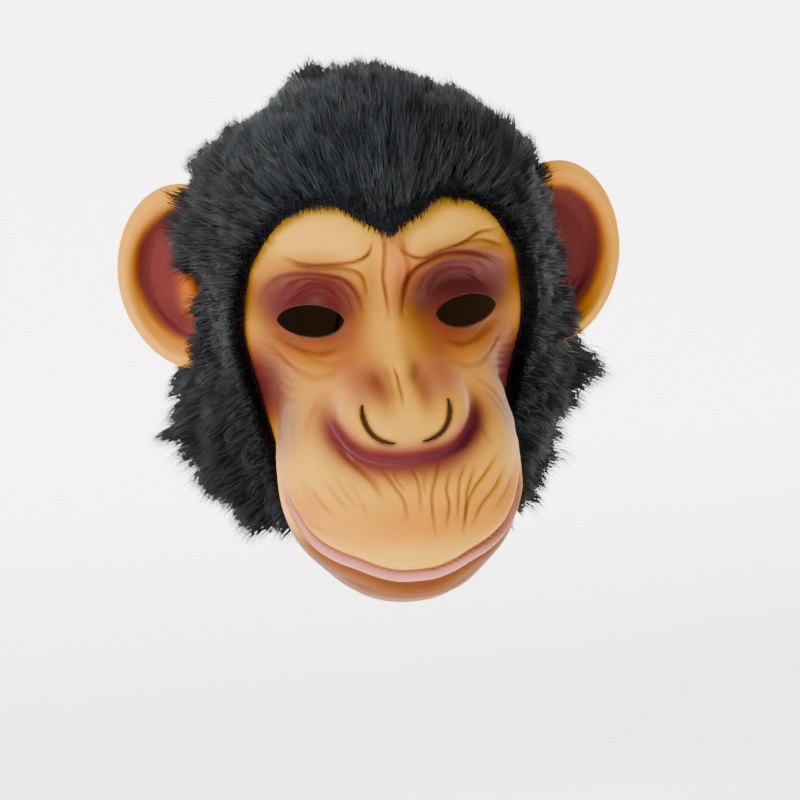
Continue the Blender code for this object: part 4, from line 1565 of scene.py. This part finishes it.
    def flow(self, points: Array, normal: Array) -> Array:
        """The lie of the pile: away from the face's middle, drooping, flat on the surface.

        f = v - (v . n) n for v = unit(p - face) + droop, made a unit vector.

        Args:
            points: Places on the panel.
            normal: Outward directions.

        Returns:
            The directions.
        """
        away = unit(points - np.array([0.0, -95.0, -28.0]))
        droop = np.array([0.0, 0.25, -0.45]) * (1 - ramp(points[..., 2], 10.0, 70.0))[..., None]
        lie = away + droop
        return unit(lie - (lie * normal).sum(-1, keepdims=True) * normal)

    def pelt(self, rows: int = 64, columns: int = 80) -> Surface:
        """The dense part of the pile with its backing, as a closed sheet.

        Args:
            rows: Cells along.
            columns: Cells across.

        Returns:
            The surface.
        """
        along, across = np.meshgrid(np.linspace(0, 1, rows + 1), np.linspace(0, 1, columns + 1), indexing="ij")
        ground, normal = self.ground(along, across)
        pile = self.pelt_depth(along, across)
        mu, mv, _ = self.cells(along, across, self.clumps, self.seed)
        gap = np.hypot((along - mu) * self.clumps[0], (across - mv) * self.clumps[1])
        top = ground + normal * (self.seat_gap + pile * (1 - 0.30 * np.clip(gap, 0, 1)))[..., None]
        low = ground + normal * self.seat_gap
        both = np.vstack([top.reshape(-1, 3), low.reshape(-1, 3)])
        both[:, 0] = np.maximum(both[:, 0], 0.3)
        count = (rows + 1) * (columns + 1)
        upper = grid_faces(rows + 1, columns + 1, False)
        faces = [upper, (upper + count)[:, ::-1]]
        r, c = np.arange(rows + 1) * (columns + 1), np.arange(columns + 1)
        loop = np.concatenate([c, r[1:] + columns, rows * (columns + 1) + c[::-1][1:], r[::-1][1:-1]])
        follow = np.roll(loop, -1)
        faces.append(np.stack([loop, follow, follow + count, loop + count], -1))
        both[:, 0] *= self.side
        return Surface(self.form.placed(both), np.vstack(faces))

    def roots(self, rng: np.random.Generator, count: int) -> tuple[Array, Array]:
        """Random places spread evenly over the panel's real area.

        Args:
            rng: The generator.
            count: How many.

        Returns:
            Along and across.
        """
        cells = 72
        s, t = np.meshgrid(np.linspace(0, 1, cells + 1), np.linspace(0, 1, cells + 1), indexing="ij")
        points, normal = self.ground(s, t)
        points = points + normal * self.pile(s, t)[..., None]
        u = points[1:, :-1] - points[:-1, :-1]
        v = points[:-1, 1:] - points[:-1, :-1]
        area = np.linalg.norm(np.cross(u, v), axis=-1).ravel()
        chosen = rng.choice(len(area), count, p=area / area.sum())
        i, j = np.divmod(chosen, cells)
        return (i + rng.random(count)) / cells, (j + rng.random(count)) / cells

    def hair(self) -> tuple[Array, Array, Array]:
        """Every hair as a tapered blade of five points.

        A hair runs root + n h(k) + f l(k) at shares k of 0, 0.5 and 1, with its tip drawn towards
        the tip of its clump, and is w(k) wide.

        Returns:
            Points as (hair, five, xyz), shade as (hair, five), and across of each root.
        """
        rng = np.random.default_rng(self.seed)
        along, across = self.roots(rng, self.hairs)
        fringe = rng.random(self.hairs) < self.fringe_share
        along = np.where(fringe, 0.035 * rng.random(self.hairs), along)
        clump_u, clump_v, clump = self.cells(along, across, self.clumps, self.seed)
        tuft = self.cells(along, across, self.tufts, self.seed + 2)[2]
        ground, normal = self.ground(along, across)
        flow = self.flow(ground, normal)
        swing = rng.normal(0.0, 0.30, (self.hairs, 1))
        flow = unit(flow + np.cross(normal, flow) * swing)
        pile, pelt = self.pile(along, across), self.pelt_depth(along, across)
        clump_rng = np.random.default_rng(self.seed + 1)
        tall = clump_rng.uniform(0.66, 1.40, 4000)[clump] * clump_rng.uniform(0.62, 1.62, 400)[tuft]
        tall = 1 + (tall - 1) * (0.30 + 0.70 * ramp(-ground[:, 1], -32.0, -8.0))
        sweep = 0.6 + 0.4 * tall
        height = (pile - 0.75 * pelt) * rng.uniform(0.80, 1.35, self.hairs) * tall + 1.5
        height = height + self.crown_tufts(ground) * rng.uniform(0.4, 1.0, self.hairs)
        length = (3.0 + 13.0 * ramp(along, 0.0, 0.12)) * rng.uniform(0.6, 1.4, self.hairs) * sweep
        over_face = rng.uniform(-7.5, 4.0, self.hairs) * (1.0 + 0.2 * (across < 0.25))
        length = np.where(fringe, over_face, length)
        height = np.where(fringe, rng.uniform(2.2, 8.0, self.hairs), height)
        root = ground + normal * (self.seat_gap + 0.75 * pelt)[:, None]
        middle_ground, middle_normal = self.ground(clump_u, clump_v)
        middle_flow = self.flow(middle_ground, middle_normal)
        clump_height = self.seat_gap + self.pile(clump_u, clump_v) * (1.15 + 0.55 * (tall - 1))
        clump_tip = middle_ground + middle_normal * clump_height[:, None] + middle_flow * (12.0 * sweep)[:, None]
        halfway = root + normal * (0.68 * height)[:, None] + flow * (0.36 * length)[:, None]
        tip = root + normal * height[:, None] + flow * length[:, None]
        pull = rng.uniform(0.28, 0.78, (self.hairs, 1)) * ~fringe[:, None]
        tip = tip + (clump_tip - tip) * pull
        halfway = halfway + (clump_tip - halfway) * pull * 0.22
        twist = rng.uniform(-0.9, 0.9, (self.hairs, 1))
        wide = unit(np.cross(flow, normal) * np.cos(twist) + normal * np.sin(twist))
        base = 0.30 * rng.uniform(0.8, 1.2, (self.hairs, 1))
        blades = np.stack(
            [root - wide * base, root + wide * base, halfway - wide * base * 0.8, halfway + wide * base * 0.8, tip],
            1,
        )
        tone = rng.uniform(0.55, 1.25, self.hairs) * clump_rng.uniform(0.75, 1.25, 4000)[clump]
        # The painted sheen pales the tips most on the crown.
        tone = tone * self.painted_sheen(ground)
        # Along each hair the shade rises from 0.1 at the root, painted shade deep in the pile, to 0.95 at the tip.
        shade = tone[:, None] * np.array([0.10, 0.10, 0.55, 0.55, 0.95])
        blades[..., 0] = np.where(across[:, None] < 0.2, np.maximum(blades[..., 0], -2.0), blades[..., 0])
        blades[..., 0] *= self.side
        return blades, shade, across

    def slot_cutter(self) -> Surface:
        """A slot through the pelt, a little larger than the ear's root."""
        turns = np.linspace(0.0, 2 * math.pi, 28, endpoint=False)
        y = 15.0 * np.sign(np.cos(turns)) * np.abs(np.cos(turns)) ** 0.75
        z = -1.0 + 50.0 * np.sign(np.sin(turns)) * np.abs(np.sin(turns)) ** 0.75
        rings = []
        for x in (0.8 * self.form.half_width, 2.0 * self.form.half_width):
            lean = (x - self.form.half_width - 22.0) * math.tan(math.radians(14.0))
            ring = np.stack([np.full(len(y), self.side * x), y + lean, z], -1)
            rings += [ring, ring.mean(axis=0, keepdims=True)]
        k = np.arange(len(y))
        n = (k + 1) % len(y)
        count = len(y) + 1
        faces = np.vstack(
            [
                np.stack([k, k + count, n + count, n], -1),
                triangles(np.stack([k, n, np.full(len(k), count - 1)], -1)),
                triangles(np.stack([n + count, k + count, np.full(len(k), 2 * count - 1)], -1)),
            ]
        )
        return Surface(self.form.placed(np.vstack(rings)), faces)

    def clear_of_ear(self, blades: Array) -> Array:
        """Which hairs stay out of the ear's cup: none rooted where the ear comes through."""
        root = blades[:, 0]
        lean = (np.abs(root[:, 0]) - self.form.half_width - 22.0) * math.tan(math.radians(14.0))
        forward = (root[:, 1] - lean) / 10.0
        up = (root[:, 2] + 1.0) / 48.0
        return forward**4 + up**4 > 1

    def build(self, material: bpy.types.Material) -> list[bpy.types.Object]:
        """Makes the pelt and the hair over it, the hair as an upper and a lower piece.

        Args:
            material: The fake fur.

        Returns:
            The finished objects.
        """
        name = "left" if self.side > 0 else "right"
        pelt = mesh_object(f"{name}_pelt", self.pelt())
        face_outwards(pelt)
        slot = mesh_object("ear_slot_cutter", self.slot_cutter(), False)
        face_outwards(slot)
        subtract(pelt, slot)
        # Painted shade: the pelt is near-black, as the shade under the hair.
        write_values(pelt, "shade", np.full(len(pelt.data.vertices), 0.04))
        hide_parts(f"{name}_fur_panel")
        made = [pelt]
        blades, shade, across = self.hair()
        free = self.clear_of_ear(blades)
        middle = float(np.median(across[free]))
        for part, chosen in (("crown", across <= middle), ("cheek", across > middle)):
            kept = np.flatnonzero(free & chosen)
            first = np.arange(len(kept))[:, None] * 5
            quads = first + np.array([0, 1, 3, 2])
            tips = triangles(first + np.array([2, 3, 4]))
            points = self.form.placed(blades[kept].reshape(-1, 3))
            tuft = mesh_object(f"{name}_{part}_hair", Surface(points, np.vstack([quads, tips])))
            write_values(tuft, "shade", shade[kept].ravel())
            made.append(tuft)
        for piece in made:
            piece.data.materials.clear()
            piece.data.materials.append(material)
        return made


@dataclass
class Studio:
    """Pale floor with a rising back wall of glowing paper, soft lights, and the camera at the photo's angle."""

    form: HeadForm
    azimuth: float = -5.3
    elevation: float = 13.0
    roll: float = 3.2
    distance: float = 812.0
    focal_pixels: float = 1474.0
    ear_pixel: Place = (373.5, 262.0)
    floor_drop: float = 820.0
    wall_back: float = 1300.0
    wall_glow: float = 4.4

    def camera(self) -> bpy.types.Object:
        """Places the camera so that the ears' middle falls on its pixel of an 800 x 800 picture.

        Returns:
            The camera.
        """
        a, e, r = (math.radians(v) for v in (self.azimuth, self.elevation, self.roll))
        back = np.array([math.sin(a) * math.cos(e), -math.cos(a) * math.cos(e), math.sin(e)])
        right = unit(np.cross(-back, [0.0, 0.0, 1.0]))
        up = np.cross(right, -back)
        turned = math.cos(r) * right - math.sin(r) * up
        top = math.sin(r) * right + math.cos(r) * up
        shift_x = (self.ear_pixel[0] - 400) / self.focal_pixels * self.distance
        shift_z = (400 - self.ear_pixel[1]) / self.focal_pixels * self.distance
        place = self.form.placed(back * self.distance - turned * shift_x - top * shift_z)
        data = bpy.data.cameras.new("camera")
        data.sensor_width = 36.0
        data.lens = 36.0 * self.focal_pixels / 800
        data.clip_start = 0.01
        made = bpy.data.objects.new("camera", data)
        axes = np.column_stack([turned, top, back])
        matrix = np.eye(4)
        matrix[:3, :3] = axes
        matrix[:3, 3] = place
        made.matrix_world = Matrix(matrix.tolist())
        bpy.context.scene.collection.objects.link(made)
        bpy.context.scene.camera = made
        return made

    def backdrop(self) -> bpy.types.Object:
        """A sheet of paper: flat floor, a round bend and an upright wall, which glows as painted light, less so near
        the floor.
        """
        floor = (self.form.wall - self.form.crown_rise - self.floor_drop) * MILLIMETRE
        radius, back = 0.40, self.wall_back * MILLIMETRE
        bend = np.linspace(0.0, math.pi / 2, 24)
        y = np.concatenate([[-3.0], back - radius + radius * np.sin(bend), [back]])
        z = np.concatenate([[floor], floor + radius * (1 - np.cos(bend)), [floor + 3.2]])
        x = np.linspace(-3.0, 3.0, 9)
        points = np.stack([np.tile(x, len(y)), np.repeat(y, len(x)), np.repeat(z, len(x))], -1)
        paper = mesh_object("backdrop", Surface(points, grid_faces(len(y), len(x), False)[:, ::-1]))
        material = bpy.data.materials.new("pale paper")
        material.use_nodes = True
        shader = material.node_tree.nodes["Principled BSDF"]
        shader.inputs["Base Color"].default_value = (0.90, 0.92, 0.89, 1.0)
        shader.inputs["Roughness"].default_value = 0.9
        sketch = NodeSketch(material.node_tree)
        place = sketch.add("ShaderNodeTexCoord").outputs["Object"]
        height = sketch.add("ShaderNodeSeparateXYZ", inputs={0: place}).outputs["Z"]
        # Painted light: the paper glows, less so near the floor.
        glow = sketch.span(height, floor + 0.02, floor + 0.30, 0.4 * self.wall_glow, self.wall_glow)
        shader.inputs["Emission Color"].default_value = (1.0, 1.0, 0.98, 1.0)
        sketch.feed(shader, "Emission Strength", glow)
        paper.data.materials.append(material)
        return paper

    def light(self, name: str, place: Colour, aim_at: Colour, size: float, power: float, tone: Colour) -> None:
        """Adds a square soft light.

        Args:
            name: The light's name.
            place: Where it stands, in metres.
            aim_at: The place it faces, in metres.
            size: Its side, in metres.
            power: Its power, in watts.
            tone: Its colour.
        """
        data = bpy.data.lights.new(name, "AREA")
        data.size = size
        data.energy = power
        data.color = tone
        made = bpy.data.objects.new(name, data)
        aim = np.array(aim_at) - np.array(place)
        back = -unit(aim)
        side = unit(np.cross([0.0, 0.0, 1.0], back))
        matrix = np.eye(4)
        matrix[:3, :3] = np.column_stack([side, np.cross(back, side), back])
        matrix[:3, 3] = place
        made.matrix_world = Matrix(matrix.tolist())
        bpy.context.scene.collection.objects.link(made)

    def build(self) -> None:
        """Makes the camera, the paper, the lights and the soft surrounding light."""
        self.camera()
        self.backdrop()
        middle = (0.0, 0.0, -0.1)
        self.light("key", (-1.0, -1.2, 1.0), middle, 0.6, 43.0, (1.0, 0.98, 0.92))
        self.light("fill", (1.3, -1.3, 0.3), middle, 1.2, 3.0, (1.0, 0.97, 0.93))
        self.light("top", (-0.1, -0.1, 1.5), middle, 0.8, 5.0, (1.0, 1.0, 1.0))
        world = bpy.data.worlds.new("soft room")
        world.use_nodes = True
        sky = world.node_tree.nodes["Background"]
        sky.inputs[0].default_value = (0.93, 0.95, 0.94, 1.0)
        sky.inputs[1].default_value = 0.20
        bpy.context.scene.world = world


def main() -> None:
    """Builds every piece in order and reports it."""
    logging.basicConfig(level=logging.INFO, format="%(name)s: %(message)s")
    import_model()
    form = HeadForm()
    relief = FaceRelief()
    Studio(form).build()
    mottling = noise_group("paint mottle")
    latex = LatexFinish("painted latex").material(mottling)
    fur = PileFinish("charcoal pile").material(mottling)
    latex_pieces = [LatexHead(form, relief).build(latex)]
    latex_pieces += [Ear(side, form).build(latex) for side in (1, -1)]
    fur_pieces: list[bpy.types.Object] = []
    for side, seed in ((1, 5), (-1, 11)):
        fur_pieces += FurPanel(side, form, relief, seed=seed).build(fur)
    for pieces, slot in ((latex_pieces, "latex"), (fur_pieces, "fur")):
        for piece in pieces:
            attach(piece, "root")
            LOG.info("%s: %d faces", piece.name, len(piece.data.polygons))


if __name__ == "__main__":
    main()
